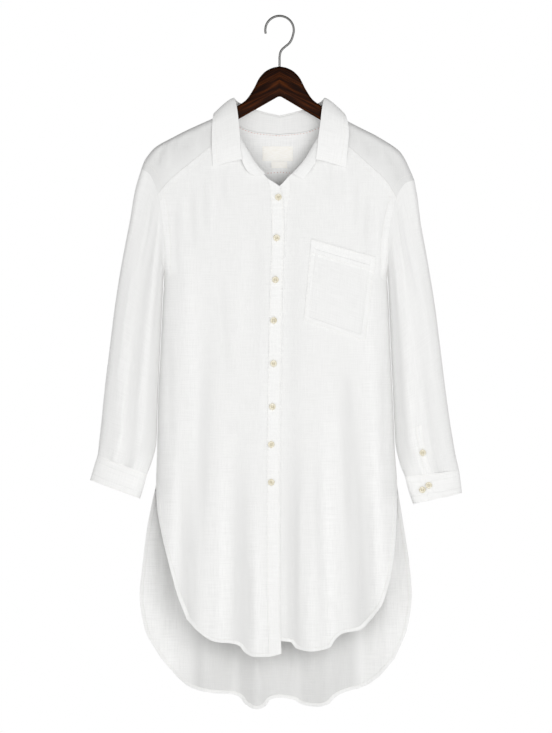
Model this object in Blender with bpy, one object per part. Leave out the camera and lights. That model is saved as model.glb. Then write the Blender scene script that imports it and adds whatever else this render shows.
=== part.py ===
# Long linen shirt on a wooden hanger. Sizes are in millimetres; meshes are made in metres.
# X runs to the wearer's left, Y to the back, Z up. The origin is where the hook bears on its rail.
# "drop" is the distance below the origin, and "out" the distance from the centre line to one side.
import math

import bmesh
import bpy
import numpy as np
from mathutils.bvhtree import BVHTree

for item in list(bpy.data.objects):
    bpy.data.objects.remove(item, do_unlink=True)

# Driving dimensions
MM = 0.001
CLOTH = 1.2            # wall of one panel of cloth
SEAM = 0.3             # space left between pieces
WIRE = 3.9             # diameter of the hook's wire
HOOK_RADIUS = 24.2     # centre of the wire in the hook's bend
WOOD = 13.0            # thickness of the hanger's wood
WOOD_EDGE = 4.5        # rounding of its edges
RIDGE_DEPTH = 11.0     # half depth of the cloth just under the shoulder line, over the wood
RIDGE_ROUND = 10.0     # height of that rounding
SIDE_ROUND = 42.0      # width of the rounding at a closed side seam
BAND = 21.0            # width of the button band
BUTTON = 11.0          # diameter of a button
BUTTON_THICK = 2.0
STAND_BACK = 29.0      # height of the collar stand at the back neck

RIGHT, LEFT = -1, 1    # the wearer's right lies at -X
FRONT, BACK = -1, 1    # the front lies at -Y
ARMPIT = 438.0         # drop of the underarm
SLIT = 795.0           # drop of the top of the side slits


def table(names, *rows):
    return dict(zip(names.split(), np.array(rows, float).T))


def smooth(xs, ys, at):
    """A curve through points that doesn't overshoot them."""
    xs, ys = np.asarray(xs, float), np.asarray(ys, float)
    step = np.diff(xs)
    rise = np.diff(ys) / step
    slope = np.zeros(len(xs))
    slope[0], slope[-1] = rise[0], rise[-1]
    for i in range(1, len(xs) - 1):
        if rise[i - 1] * rise[i] > 0:
            w1, w2 = 2 * step[i] + step[i - 1], step[i] + 2 * step[i - 1]
            slope[i] = (w1 + w2) / (w1 / rise[i - 1] + w2 / rise[i])
    at = np.clip(at, xs[0], xs[-1])
    k = int(np.clip(np.searchsorted(xs, at) - 1, 0, len(step) - 1))
    t = (at - xs[k]) / step[k]
    a, b = ys[k], ys[k + 1]
    return (
        a * (1 + 2 * t) * (1 - t) ** 2
        + b * t * t * (3 - 2 * t)
        + step[k] * t * (1 - t) * (slope[k] * (1 - t) - slope[k + 1] * t)
    )


def along(columns, names, count=None, at=None):
    """Points evenly along a curve through a table's rows, or at given shares of its length."""
    points = np.array([columns[name] for name in names.split()]).T
    lengths = np.concatenate([[0], np.cumsum(np.linalg.norm(np.diff(points, axis=0), axis=1))])
    shares = np.linspace(0, 1, count) if at is None else np.asarray(at)
    places = shares * lengths[-1]
    return np.array([[smooth(lengths, column, place) for column in points.T] for place in places])


def ease(t):
    t = min(max(t, 0.0), 1.0)
    return t * t * (3 - 2 * t)


# The shoulder line from beside the neck to the top of the armhole. Inside the neck it only sets the depths.
SHOULDER = {
    RIGHT: table(
        "out drop",
        (0, 118), (45, 132), (90, 158), (113, 172), (135, 182), (161, 194), (186, 207),
        (203, 216), (213, 223), (222, 233), (230, 245), (235, 258),
    ),
    LEFT: table(
        "out drop",
        (0, 118), (45, 132), (90, 160), (116, 177), (137, 188), (161, 200), (180, 211),
        (194, 220), (204, 228), (213, 241), (221, 258), (229, 277),
    ),
}
# The armhole seam, from the shoulder to the underarm
ARMHOLE = {
    RIGHT: table(
        "out drop",
        (235, 258), (222, 266), (213, 282), (207, 299), (203, 316), (199, 345), (196, 387), (196, ARMPIT),
    ),
    LEFT: table(
        "out drop",
        (229, 277), (215, 282), (205, 294), (198, 308), (194, 322), (188, 350), (183, 390), (183, ARMPIT),
    ),
}
# The side of the body: how far out it is, and how open the cloth's edge is (0 is closed to the back panel)
SIDE = {
    RIGHT: table(
        "drop out open",
        (258, 235, 1), (316, 203, 1), (345, 199, 0.9), (387, 196, 0.75), (420, 196, 0.45), (ARMPIT, 196, 0),
        (481, 198, 0), (566, 202, 0), (651, 206, 0), (736, 208, 0), (SLIT, 210, 0),
        (822, 209, 0.4), (872, 202, 0.7), (960, 180, 1), (1200, 100, 1),
    ),
    LEFT: table(
        "drop out open",
        (277, 229, 1), (322, 194, 1), (350, 188, 0.9), (390, 183, 0.75), (420, 183, 0.45), (ARMPIT, 183, 0),
        (481, 185, 0), (566, 188.5, 0), (651, 192.5, 0), (736, 196, 0), (SLIT, 200, 0),
        (822, 200, 0.4), (872, 198, 0.7), (960, 186, 1), (1200, 100, 1),
    ),
}
# How much deeper than the shoulder rounding a panel hangs, by its distance below the shoulder line
HANG = table("below more", (0, 0), (10, 0), (60, 5), (170, 11), (300, 16), (450, 20), (650, 25), (950, 29))

# Edges of the two fronts below the slit: down the curved slit, then in along the hem to the centre
FRONT_SLIT = {
    RIGHT: table(
        "out drop", (210, SLIT), (208, 832), (201, 872), (193, 906), (184, 940), (172, 983),
        (157, 1022),
    ),
    LEFT: table(
        "out drop", (200, SLIT), (199, 840), (197, 880), (192, 925), (185, 960), (174, 995),
        (156, 1021),
    ),
}
FRONT_HEM = {
    RIGHT: table(
        "out drop", (157, 1022), (135, 1042), (101, 1058), (72, 1066), (50, 1082), (20, 1084),
        (-3, 1079),
    ),
    LEFT: table(
        "out drop",
        (156, 1021), (137, 1039), (105, 1046), (86, 1068), (55, 1076), (25, 1070), (4, 1060), (-18, 1058),
    ),
}
BACK_SLIT = {
    RIGHT: table(
        "out drop", (210, SLIT), (217, 825), (226, 870), (233, 925), (239, 985), (231, 1040),
        (203, 1092),
    ),
    LEFT: table(
        "out drop", (200, SLIT), (207, 838), (214, 880), (221, 925), (226, 985), (219, 1038),
        (196, 1093),
    ),
}
BACK_HEM = table(
    "x drop",
    (-203, 1092), (-169, 1130), (-135, 1148), (-93, 1153), (-67, 1159), (-57, 1171), (-40, 1178),
    (-24, 1173), (-15, 1163), (0, 1160), (24, 1164), (43, 1173), (63, 1175), (84, 1170), (96, 1157),
    (130, 1146), (165, 1127), (196, 1093),
)
# The front edge of the right front, and how far inside it the left front's own edge lies
CENTRE = table(
    "drop x", (289, 0), (311, 6), (379, 8), (447, 5), (549, 3), (651, 1), (787, 0), (991, 0), (1079, 3),
)
UNDERLAP = 18.0
# How far the left front's band shows past that edge
SHOWN = table("drop more", (289, 14), (311, 7), (379, 3), (500, 3), (650, 2), (1079, 0.5))

FRONT_SEAM = {  # yoke seam at the front, from the armhole to the neck
    RIGHT: table("out drop", (203, 316), (184, 291), (152, 263), (116, 234), (92, 214), (73, 197)),
    LEFT: table("out drop", (194, 322), (171, 284), (154, 268), (116, 234), (92, 214), (73, 197)),
}
BACK_SEAM = {  # yoke seam at the back, from the armhole to the centre
    RIGHT: table("out drop", (203, 316), (150, 292), (90, 274), (0, 265)),
    LEFT: table("out drop", (194, 322), (150, 293), (90, 274), (0, 265)),
}

# The collar, in sections from its front end over the shoulder to the back neck. Each row has the neck seam,
# the roll line with its depth, the leaf's edge with its depth, and how far the stand is folded outwards.
COLLAR_NAMES = "seam_out seam_drop roll_out roll_drop roll_y edge_out edge_drop edge_y turn"
COLLAR = {
    RIGHT: table(
        COLLAR_NAMES,
        (24, 268, 42, 271, -24, 42, 271, -24, 1),
        (35, 257, 55, 262, -25, 55, 262, -25, 1),
        (45, 244, 63, 246, -26, 113, 255, -19, 1),
        (53, 230, 66, 229, -26, 114, 236, -19, 1),
        (63, 212, 67, 207, -24, 115, 217, -18, 1),
        (73, 197, 69, 185, -20, 115, 199, -16, 0.8),
        (84, 175, 72, 159, -13, 114, 180, -13, 0.5),
        (90, 158, 77, 141, 0, 112, 164, 0, 0.2),
        (82, 172, 71, 147, 12, 100, 180, 17, 0),
        (66, 186, 58, 153, 17, 70, 200, 25, 0),
        (40, 195, 37, 161, 19, 42, 208, 27, 0),
        (0, 199, 0, 199 - STAND_BACK, 19, 0, 213, 28, 0),
    ),
    LEFT: table(
        COLLAR_NAMES,
        (22, 268, 40, 276, -24, 40, 276, -24, 1),
        (35, 254, 52, 262, -25, 52, 262, -25, 1),
        (46, 240, 61, 246, -26, 113, 257, -19, 1),
        (54, 226, 64, 229, -26, 114, 238, -19, 1),
        (63, 210, 66, 207, -24, 116, 218, -18, 1),
        (73, 197, 69, 185, -20, 118, 199, -16, 0.8),
        (84, 176, 72, 159, -13, 116, 180, -13, 0.5),
        (90, 160, 76, 141, 0, 109, 163, 0, 0.2),
        (82, 173, 70, 147, 12, 99, 180, 17, 0),
        (66, 186, 58, 153, 17, 70, 200, 25, 0),
        (40, 195, 37, 161, 19, 42, 208, 27, 0),
        (0, 199, 0, 199 - STAND_BACK, 19, 0, 213, 28, 0),
    ),
}
LEAF_ROW, YOKE_ROW, SHOULDER_ROW, BACK_ROW = 2, 5, 7, 11   # where the leaf, yoke and shoulder line start

# Sleeves: the outer and the inner line in sections from the armhole to the cuff seam, and half the depth
SLEEVE_NAMES = "outer_out outer_drop inner_out inner_drop depth"
SLEEVE = {
    RIGHT: table(
        SLEEVE_NAMES,
        (235, 258, 196, ARMPIT, 15), (246, 296, 198.5, 447, 17),
        (254, 344, 200.5, 466, 19), (263, 390, 202, 494, 20),
        (272, 440, 204, 526, 21), (281, 500, 206, 566, 22),
        (289, 565, 208, 615, 22), (297, 630, 210, 668, 22),
        (303, 690, 212, 722, 21), (307, 725, 218, 756, 19), (309, 744, 225, 777, 16),
    ),
    LEFT: table(
        SLEEVE_NAMES,
        (229, 277, 183, ARMPIT, 15), (235, 310, 186, 449, 17),
        (240, 350, 188, 467, 19), (248, 394, 190, 494, 20),
        (256, 440, 191.5, 526, 21), (264, 490, 193.5, 563, 22),
        (273, 560, 196, 615, 22), (281, 625, 198, 668, 22),
        (290, 690, 201, 722, 21), (299, 743, 206, 757, 19), (305, 770, 213, 781, 16),
    ),
}
CUFF = {
    RIGHT: table(
        SLEEVE_NAMES, (309, 744, 225, 777, 16), (316, 766, 231, 799, 15.5), (322, 787, 237, 819, 15),
    ),
    LEFT: table(
        SLEEVE_NAMES, (305, 770, 213, 781, 16), (308, 790, 219, 804, 15.5), (310, 809, 227, 828, 15),
    ),
}
ARMHOLE_FADE = 0.62    # share of the sleeve over which the armhole's curve fades into plain sections
SECTION_FULL = 0.85    # fullness of a section: 1 is an ellipse, less is fuller

# Soft folds, each from (x, drop) at its start to its end: half width and rise (a trough's is negative)
FOLD_NAMES = "x0 drop0 x1 drop1 half rise"
FRONT_FOLDS = table(
    FOLD_NAMES,
    (-114, 440, -160, 1040, 15, -7), (-67, 660, -67, 1100, 15, -6), (-96, 620, -100, 1090, 17, 7),
    (-172, 640, -184, 960, 15, 5), (-38, 740, -38, 1100, 14, 6), (-160, 330, -150, 560, 16, 3),
    (24, 620, 22, 1090, 13, -6), (104, 520, 141, 1050, 15, -7), (74, 560, 88, 1090, 16, 7),
    (158, 620, 172, 1010, 15, 6), (140, 340, 150, 520, 16, 3), (50, 860, 52, 1090, 12, 4),
)
BACK_FOLDS = table(
    FOLD_NAMES,
    (-172, 520, -184, 1130, 19, 8), (-120, 400, -127, 1180, 19, -9), (-70, 460, -76, 1180, 17, 9),
    (-34, 620, -38, 1200, 15, -9), (28, 420, 32, 1200, 17, 8), (76, 480, 84, 1200, 19, -9),
    (132, 440, 141, 1170, 17, 9), (176, 600, 186, 1120, 15, -7), (-10, 330, -6, 900, 14, 4),
)
# The same on a sleeve: shares of its width (0 at the outer line) and of its length
SLEEVE_FOLDS = {
    RIGHT: table(
        FOLD_NAMES,
        (0.45, 0.06, 0.55, 0.55, 0.13, -4), (0.72, 0.1, 0.75, 0.7, 0.12, 3), (0.3, 0.4, 0.35, 1, 0.12, 3),
    ),
    LEFT: table(
        FOLD_NAMES,
        (0.8, 0.04, 0.9, 0.5, 0.12, -4), (0.5, 0.05, 0.6, 0.6, 0.13, 3), (0.35, 0.4, 0.3, 1, 0.12, -3),
    ),
}
FOLD_SWELL = 1.6       # a fold has its full height from 1 / 1.6 of its length on


LINE_STEPS = 90        # points of the shoulder line, to measure from
FINE_STEPS = 200       # points of an edge that is read at any place
SHOULDER_LINE = {side: along(SHOULDER[side], "out drop", LINE_STEPS) for side in (RIGHT, LEFT)}
NECK_OUT = 90.0        # where the shoulder line starts, beside the neck


def below_shoulder(side, out, drop):
    """Distance of a point of the body from the shoulder line."""
    line = SHOULDER_LINE[side]
    point = np.array([out, drop])
    starts, spans = line[:-1], np.diff(line, axis=0)
    shares = np.clip(((point - starts) * spans).sum(1) / (spans**2).sum(1), 0, 1)
    gaps = np.linalg.norm(point - starts - spans * shares[:, None], axis=1)
    return gaps.min()


def folds(rows, across, down):
    """Height of a set of folds at one place; each one swells from its start."""
    total = 0.0
    for x0, d0, x1, d1, half, rise in zip(*(rows[name] for name in FOLD_NAMES.split())):
        share = (down - d0) / (d1 - d0)
        middle = x0 + (x1 - x0) * share
        total += rise * ease(share * FOLD_SWELL) * math.exp(-(((across - middle) / half) ** 2))
    return total


def depth(face, x, drop):
    """How far the body's cloth stands in front of or behind the middle plane."""
    side = RIGHT if x < 0 else LEFT
    out = abs(x)
    below = below_shoulder(side, out, drop)
    round_off = 1 - min(below, RIDGE_ROUND) / RIDGE_ROUND
    hang = smooth(HANG["below"], HANG["more"], below)
    base = RIDGE_DEPTH * math.sqrt(1 - round_off**2) + hang
    where = SIDE[side]
    edge = smooth(where["drop"], where["out"], drop)
    opened = smooth(where["drop"], where["open"], drop)
    turn = 1 - min(max(edge - out, 0), SIDE_ROUND) / SIDE_ROUND
    rounding = opened + (1 - opened) * math.sqrt(1 - turn**2)
    relief = folds(FRONT_FOLDS if face == FRONT else BACK_FOLDS, x, drop)
    return (base + relief) * rounding


def body_point(face, x, drop, inset=0.0):
    return np.array([x, face * (depth(face, x, drop) - inset), -drop])


def coons(top, bottom, start, end, us=None, vs=None):
    """Points of a patch between four rows of points: [v][u]."""
    nu, nv = len(top), len(start)
    us = np.linspace(0, 1, nu) if us is None else us
    vs = np.linspace(0, 1, nv) if vs is None else vs
    patch = np.zeros((nv, nu, 2))
    for j, v in enumerate(vs):
        for i, u in enumerate(us):
            patch[j, i] = (
                (1 - v) * top[i] + v * bottom[i] + (1 - u) * start[j] + u * end[j]
                - (1 - u) * (1 - v) * top[0] - u * (1 - v) * top[-1]
                - (1 - u) * v * bottom[0] - u * v * bottom[-1]
            )
    return patch


def trimmed(grid, gap=SEAM / 2, sides=("top", "bottom", "start", "end")):
    """The same grid of 3-D points with its outer rows pulled in, which leaves the space at its seams."""
    grid = grid.copy()
    rows = {
        "top": (grid[0], grid[1]), "bottom": (grid[-1], grid[-2]),
        "start": (grid[:, 0], grid[:, 1]), "end": (grid[:, -1], grid[:, -2]),
    }
    for name in sides:
        edge, inner = rows[name]
        pull = inner - edge
        edge += pull / np.linalg.norm(pull, axis=-1, keepdims=True) * gap
    return grid


def grid_faces(rows, columns, closed=False, first=0):
    """Quads of a grid whose points are numbered row by row."""
    faces = []
    for j in range(rows - 1):
        for i in range(columns if closed else columns - 1):
            k = (i + 1) % columns
            faces.append((first + j * columns + i, first + j * columns + k,
                          first + (j + 1) * columns + k, first + (j + 1) * columns + i))
    return faces


def material(name, colour, roughness, metallic=0.0):
    made = bpy.data.materials.new(name)
    made.use_nodes = True
    shader = made.node_tree.nodes["Principled BSDF"]
    shader.inputs["Base Color"].default_value = (*colour, 1)
    shader.inputs["Roughness"].default_value = roughness
    shader.inputs["Metallic"].default_value = metallic
    return made


LINEN = material("linen", (0.83, 0.82, 0.80), 0.9)
LABEL = material("label", (0.84, 0.80, 0.72), 0.8)
SHELL = material("shell", (0.80, 0.74, 0.58), 0.35)
WALNUT = material("stained_wood", (0.12, 0.045, 0.018), 0.4)
STEEL = material("steel", (0.55, 0.55, 0.54), 0.3, 1.0)
PARTS = bpy.data.collections.new("tunic_top")
bpy.context.scene.collection.children.link(PARTS)


def add(name, points, faces, finish):
    mesh = bpy.data.meshes.new(name)
    mesh.from_pydata([tuple(np.asarray(p) * MM) for p in points], [], faces)
    shape = bmesh.new()
    shape.from_mesh(mesh)
    bmesh.ops.recalc_face_normals(shape, faces=shape.faces)
    shape.to_mesh(mesh)
    shape.free()
    mesh.materials.append(finish)
    mesh.shade_smooth()
    item = bpy.data.objects.new(name, mesh)
    PARTS.objects.link(item)
    return item


def sheet_normals(points, faces):
    normals = np.zeros_like(points)
    for face in faces:
        corners = points[list(face)]
        across = np.cross(corners[2] - corners[0], corners[3] - corners[1])
        for k in face:
            normals[k] += across
    return normals / np.linalg.norm(normals, axis=1, keepdims=True)


def wall(name, points, faces, towards, thickness=CLOTH, lift=0.0, finish=LINEN):
    """A closed wall whose outer face is a sheet of points; towards(points) gives the way out."""
    points = np.asarray(points, float).reshape(-1, 3)
    normals = sheet_normals(points, faces)
    if (normals * towards(points)).sum() < 0:
        normals = -normals
    middle = abs(points[:, 1]) < SEAM
    normals[middle, 1] = 0
    normals[middle] /= np.linalg.norm(normals[middle], axis=1, keepdims=True)
    outer = points + normals * lift
    inner = outer - normals * thickness
    count = len(points)
    used = dict.fromkeys((face[k], face[(k + 1) % len(face)]) for face in faces for k in range(len(face)))
    sides = [(b, a, a + count, b + count) for a, b in used if (b, a) not in used]
    back = [tuple(k + count for k in reversed(face)) for face in faces]
    return add(name, np.vstack([outer, inner]), list(faces) + back + sides, finish)


def outwards(face):
    """The way out of a panel of the front or the back."""
    def way(points):
        return np.tile([0.0, face, 0.0], (len(points), 1))

    return way


def out_of(middle, count):
    """The way out of a tube whose sections have these middles and this count of points each."""
    centres = np.repeat(middle, count, axis=0)

    def way(points):
        return points - centres

    return way


# Boundary rows of points, in (x, drop), shared by the pieces that meet along them
SEAM_SHARES = (0, 0.02, 0.08, 0.17, 0.3, 0.46, 0.64, 0.82, 1)
COLUMN_SHARES = (0, 0.012, 0.045, 0.1, 0.17, 0.25, 0.34, 0.43, 0.52, 0.61, 0.7, 0.78, 0.86)
BACK_SHARES = (0, 0.012, 0.05, 0.11, 0.18, 0.25, 0.33, 0.41, 0.49, 0.57, 0.65, 0.74, 0.83, 0.92, 1)
RIDGE_SHARES = (0, 0.035, 0.11, 0.3, 0.62, 1)
BEHIND_SHARES = (0, 0.033, 0.1, 0.3, 0.62, 1)
INNER_SHARE = 0.93     # where the last plain column of a front meets the hem, on the way to its band
ARMHOLE_SHARES = (0, 0.1, 0.26, 0.48, 0.74, 1)
SEAM_KNOT = 4          # the armhole's row at which the yoke seams meet it
ARM_STEPS, SIDE_STEPS, SLIT_STEPS = 5, 11, 7
HEM_CENTRE = 1079.0    # drop of the hem at the front edge
FRONT_TOP = {          # the top of each front's band, from the neck in to its own edge
    RIGHT: table("x drop", (1 - BAND, 275), (-9, 282), (-0.5, 288)),
    LEFT: table("x drop", (15, 272), (-2, 288), (-UNDERLAP, 290)),
}
BAND_TURN = 12         # the band has its own width from 1 / 12 of its length on


def signed(side, points):
    return points * np.array([side, 1])


def armhole_row(side):
    """From the shoulder to the yoke seams, and from there to the underarm."""
    line = ARMHOLE[side]
    fine = along(line, "out drop", FINE_STEPS)
    split = np.argmin(abs(fine[:, 1] - line["drop"][SEAM_KNOT])) / (FINE_STEPS - 1)
    upper = along(line, "out drop", at=[split * s for s in ARMHOLE_SHARES])
    lower = along(line, "out drop", at=[split + (1 - split) * k / ARM_STEPS for k in range(ARM_STEPS + 1)])
    return signed(side, upper), signed(side, lower)


def side_row(side):
    drops = np.linspace(ARMPIT, SLIT, SIDE_STEPS + 1)
    return signed(side, np.array([[smooth(SIDE[side]["drop"], SIDE[side]["out"], d), d] for d in drops]))


def seam_row(rows, side, at=SEAM_SHARES):
    return signed(side, along(rows[side], "out drop", at=at))


def collar_section(side, row):
    """All the columns of the collar's table at a row, which may lie between two."""
    columns = COLLAR[side]
    return {name: smooth(np.arange(len(columns[name])), columns[name], row) for name in columns}


def neck_row(side, rows):
    found = [collar_section(side, row) for row in rows]
    return signed(side, np.array([[f["seam_out"], f["seam_drop"]] for f in found]))


def ridge_row(side):
    line = SHOULDER_LINE[side]
    drop = smooth(SHOULDER[side]["out"], SHOULDER[side]["drop"], NECK_OUT)
    fine = np.vstack([[NECK_OUT, drop], line[line[:, 0] > NECK_OUT]])
    columns = {"out": fine[::-1, 0], "drop": fine[::-1, 1]}
    return signed(side, along(columns, "out drop", at=SEAM_SHARES))


def centre_x(drop):
    return smooth(CENTRE["drop"], CENTRE["x"], drop)


NECK_ROWS = (YOKE_ROW, 4, 3, 2, 1)      # neckline of a front, from its yoke seam
YOKE_FRONT_ROWS = (YOKE_ROW, 5.5, 6, 6.4, 6.78, SHOULDER_ROW)
YOKE_BACK_ROWS = (SHOULDER_ROW, 7.22, 7.6, 8.2, 9, 9.9, BACK_ROW)


def front_grid(side):
    """The points of one front, in (x, drop): rows from top to hem, columns from side to centre."""
    upper, lower = armhole_row(side)
    slit = signed(side, along(FRONT_SLIT[side], "out drop", SLIT_STEPS + 1))
    start = np.vstack([lower, side_row(side)[1:], slit[1:]])
    if side == RIGHT:
        edge_steps = [-BAND, -BAND / 2, 0]
    else:
        edge_steps = [SHOWN["more"][-1], -UNDERLAP / 2, -UNDERLAP]
    band_top = np.array([FRONT_TOP[side]["x"], FRONT_TOP[side]["drop"]]).T
    top = np.vstack([seam_row(FRONT_SEAM, side), neck_row(side, NECK_ROWS[1:]), band_top])
    hem = along(FRONT_HEM[side], "out drop", FINE_STEPS)
    centre_bottom = centre_x(HEM_CENTRE)
    inner_x = side * (centre_bottom + edge_steps[0])
    columns = COLUMN_SHARES[: len(top) - len(edge_steps)]
    hem_x = [hem[0, 0] + (inner_x - hem[0, 0]) * share / columns[-1] * INNER_SHARE for share in columns]
    hem_x += [side * (centre_bottom + step) for step in edge_steps]
    order = np.argsort(hem[:, 0])
    bottom = np.array([[x, np.interp(x, hem[order, 0], hem[order, 1])] for x in hem_x])
    bottom = signed(side, bottom)
    vs = np.concatenate([[0], np.cumsum(np.linalg.norm(np.diff(start, axis=0), axis=1))])
    vs /= vs[-1]
    end = []
    for v in vs:
        drop = top[-1, 1] + (bottom[-1, 1] - top[-1, 1]) * v
        end.append([centre_x(drop) + edge_steps[-1], drop])
    end = np.array(end)
    end[0], end[-1] = top[-1], bottom[-1]
    us = np.array(hem_x) - hem_x[0]
    us = us / us[-1]
    patch = coons(top, bottom, start, end, us, vs)
    for j, v in enumerate(vs):
        drops = patch[j, -3:, 1]
        for k, drop in enumerate(drops):
            shown = smooth(SHOWN["drop"], SHOWN["more"], drop) if side == LEFT and k == 0 else edge_steps[k]
            target = centre_x(drop) + shown
            weight = ease(v * BAND_TURN)
            patch[j, k - 3, 0] = patch[j, k - 3, 0] * (1 - weight) + target * weight
    return patch


TUCK_DEEP = 2 * (CLOTH + SEAM) + 0.3   # how far behind the right front the left one lies under its band
TUCK_START, TUCK_WIDE = 6.0, 55.0      # it comes forward over this width, from this far beside the edge


def tuck(x, drop):
    """How far the left front lies behind the right one where they overlap."""
    return TUCK_DEEP * (1 - ease((x - centre_x(drop) - TUCK_START) / TUCK_WIDE))


def front(side):
    patch = front_grid(side)
    points = np.zeros((*patch.shape[:2], 3))
    for j, row in enumerate(patch):
        for i, (x, drop) in enumerate(row):
            points[j, i] = body_point(FRONT, x, drop, tuck(x, drop) if side == LEFT else 0)
    points = trimmed(points)
    rows, columns = points.shape[:2]
    name = "right" if side == RIGHT else "left"
    wall(f"front_{name}", points, grid_faces(rows, columns), outwards(FRONT))
    band = points[:, -3:]
    wall(f"placket_{name}", band, grid_faces(rows, 3), outwards(FRONT), lift=SEAM + CLOTH)


def back():
    sides = {}
    for side in (RIGHT, LEFT):
        lower = armhole_row(side)[1]
        slit = signed(side, along(BACK_SLIT[side], "out drop", SLIT_STEPS + 2))
        sides[side] = np.vstack([lower, side_row(side)[1:], slit[1:]])
    top = back_seam_row()
    count = len(top)
    shares = (top[:, 0] - top[0, 0]) / (top[-1, 0] - top[0, 0])
    hem_x = BACK_HEM["x"][0] + (BACK_HEM["x"][-1] - BACK_HEM["x"][0]) * shares
    bottom = np.array([[x, smooth(BACK_HEM["x"], BACK_HEM["drop"], x)] for x in hem_x])
    start, end = sides[RIGHT], sides[LEFT]
    vs = np.concatenate([[0], np.cumsum(np.linalg.norm(np.diff(start, axis=0), axis=1))])
    patch = coons(top, bottom, start, end, shares, vs / vs[-1])
    points = np.zeros((len(start), count, 3))
    for j, row in enumerate(patch):
        for i, (x, drop) in enumerate(row):
            points[j, i] = body_point(BACK, x, drop)
    points = trimmed(points)
    wall("back", points, grid_faces(*points.shape[:2]), outwards(BACK))


def back_seam_row():
    right = seam_row(BACK_SEAM, RIGHT, BACK_SHARES)
    left = seam_row(BACK_SEAM, LEFT, BACK_SHARES)
    return np.vstack([right, left[-2::-1]])


def yoke():
    """One piece over both shoulders: a strip in front of each, and the back from armhole to armhole."""
    points, faces = [], []
    index = {}

    def put(key, point):
        if key not in index:
            index[key] = len(points)
            points.append(point)
        return index[key]

    halves = {}
    for side in (RIGHT, LEFT):
        upper = armhole_row(side)[0]
        seam = seam_row(FRONT_SEAM, side)
        ridge = ridge_row(side)
        neck = neck_row(side, YOKE_FRONT_ROWS)
        strip = coons(ridge, seam, upper, neck[::-1], None, RIDGE_SHARES)
        shaped = np.array([[body_point(FRONT, x, d) for x, d in row] for row in strip])
        shaped[0, :, 1] = 0
        shaped = trimmed(shaped, sides=("bottom", "start", "end"))
        back_neck = neck_row(side, YOKE_BACK_ROWS)
        top = np.vstack([ridge, back_neck[1:]])
        low = seam_row(BACK_SEAM, side, BACK_SHARES)
        drops = np.array(BEHIND_SHARES)
        centre = np.array([top[-1] + (low[-1] - top[-1]) * s for s in drops])
        half = coons(top, low, upper, centre, None, drops)
        halves[side] = np.array([[body_point(BACK, x, d) for x, d in row] for row in half])
        halves[side][0, : len(ridge)] = shaped[0]
        rows, columns = shaped.shape[:2]
        names = [[(side, "ridge", i) for i in range(columns)]]
        names += [[(side, "front", j, i) for i in range(columns)] for j in range(1, rows)]
        for j in range(rows - 1):
            for i in range(columns - 1):
                corners = ((j, i), (j, i + 1), (j + 1, i + 1), (j + 1, i))
                quad = tuple(put(names[b][a], shaped[b, a]) for b, a in corners)
                faces.append(quad if side == LEFT else quad[::-1])
    whole = np.concatenate([halves[RIGHT], halves[LEFT][:, -2::-1]], axis=1)
    columns = halves[RIGHT].shape[1]
    total = whole.shape[1]
    ridge_count = len(SEAM_SHARES)
    kept = whole[0].copy()
    whole = trimmed(whole)
    whole[0, :ridge_count], whole[0, -ridge_count:] = kept[:ridge_count], kept[-ridge_count:]
    for j in range(whole.shape[0] - 1):
        for i in range(total - 1):
            found = []
            for b, a in ((j, i), (j, i + 1), (j + 1, i + 1), (j + 1, i)):
                key = ("back", b, a)
                if b == 0 and a < ridge_count:
                    key = (RIGHT, "ridge", a)
                elif b == 0 and a >= total - ridge_count:
                    key = (LEFT, "ridge", total - 1 - a)
                found.append(put(key, whole[b, a]))
            faces.append(tuple(found))

    def up(found):
        return np.stack([found[:, 0] * 0, np.sign(found[:, 1]), found[:, 0] * 0 + 0.2], axis=1)

    wall("yoke", points, faces, up)


RING_STEPS = 10        # steps along half a sleeve section, from the outer line to the inner one


def sleeve_section(rows, row):
    return {name: smooth(np.arange(len(rows[name])), rows[name], row) for name in rows}


def tube_point(side, rows, row, angle, seam=None):
    """A point of a sleeve or cuff. The angle runs from the outer line over the front to the inner line
    and on round the back. seam holds the armhole's own points, which the upper sections start from."""
    found = sleeve_section(rows, row)
    share = (1 - math.cos(angle)) / 2
    face = FRONT if math.sin(angle) >= 0 else BACK
    outer = np.array([found["outer_out"], found["outer_drop"]])
    inner = np.array([found["inner_out"], found["inner_drop"]])
    flat = outer + (inner - outer) * share
    high = found["depth"] * abs(math.sin(angle)) ** SECTION_FULL
    if seam is not None:
        length = row / (len(rows["depth"]) - 1)
        fade = 1 - ease(length / ARMHOLE_FADE)
        step = abs((angle % (2 * math.pi)) if face == FRONT else 2 * math.pi - angle % (2 * math.pi))
        k = step / math.pi * RING_STEPS
        low = min(int(k), RING_STEPS - 1)
        start = seam[face][low] * (1 - (k - low)) + seam[face][low + 1] * (k - low)
        flat = flat + start[:2] * fade
        high = start[2] * fade + high * (1 - fade)
        across = share if face == FRONT else 1 - share
        high += folds(SLEEVE_FOLDS[side], across, length) * math.sin(angle) ** 2
    return np.array([side * flat[0], face * high, -flat[1]])


def armhole_offsets(side):
    """How far the armhole's points lie from a plain section there, and their depth."""
    upper, lower = armhole_row(side)
    line = np.vstack([upper, lower[1:]])
    first = sleeve_section(SLEEVE[side], 0)
    outer = np.array([first["outer_out"], first["outer_drop"]])
    inner = np.array([first["inner_out"], first["inner_drop"]])
    offsets = {}
    for face in (FRONT, BACK):
        rows = []
        for k, (x, drop) in enumerate(line):
            share = (1 - math.cos(math.pi * k / RING_STEPS)) / 2
            shift = np.array([abs(x), drop]) - outer - (inner - outer) * share
            rows.append([*shift, depth(face, x, drop)])
        rows[0][2] = 0
        rows[-1] = [0, 0, 0]
        offsets[face] = np.array(rows)
    return offsets


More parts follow.
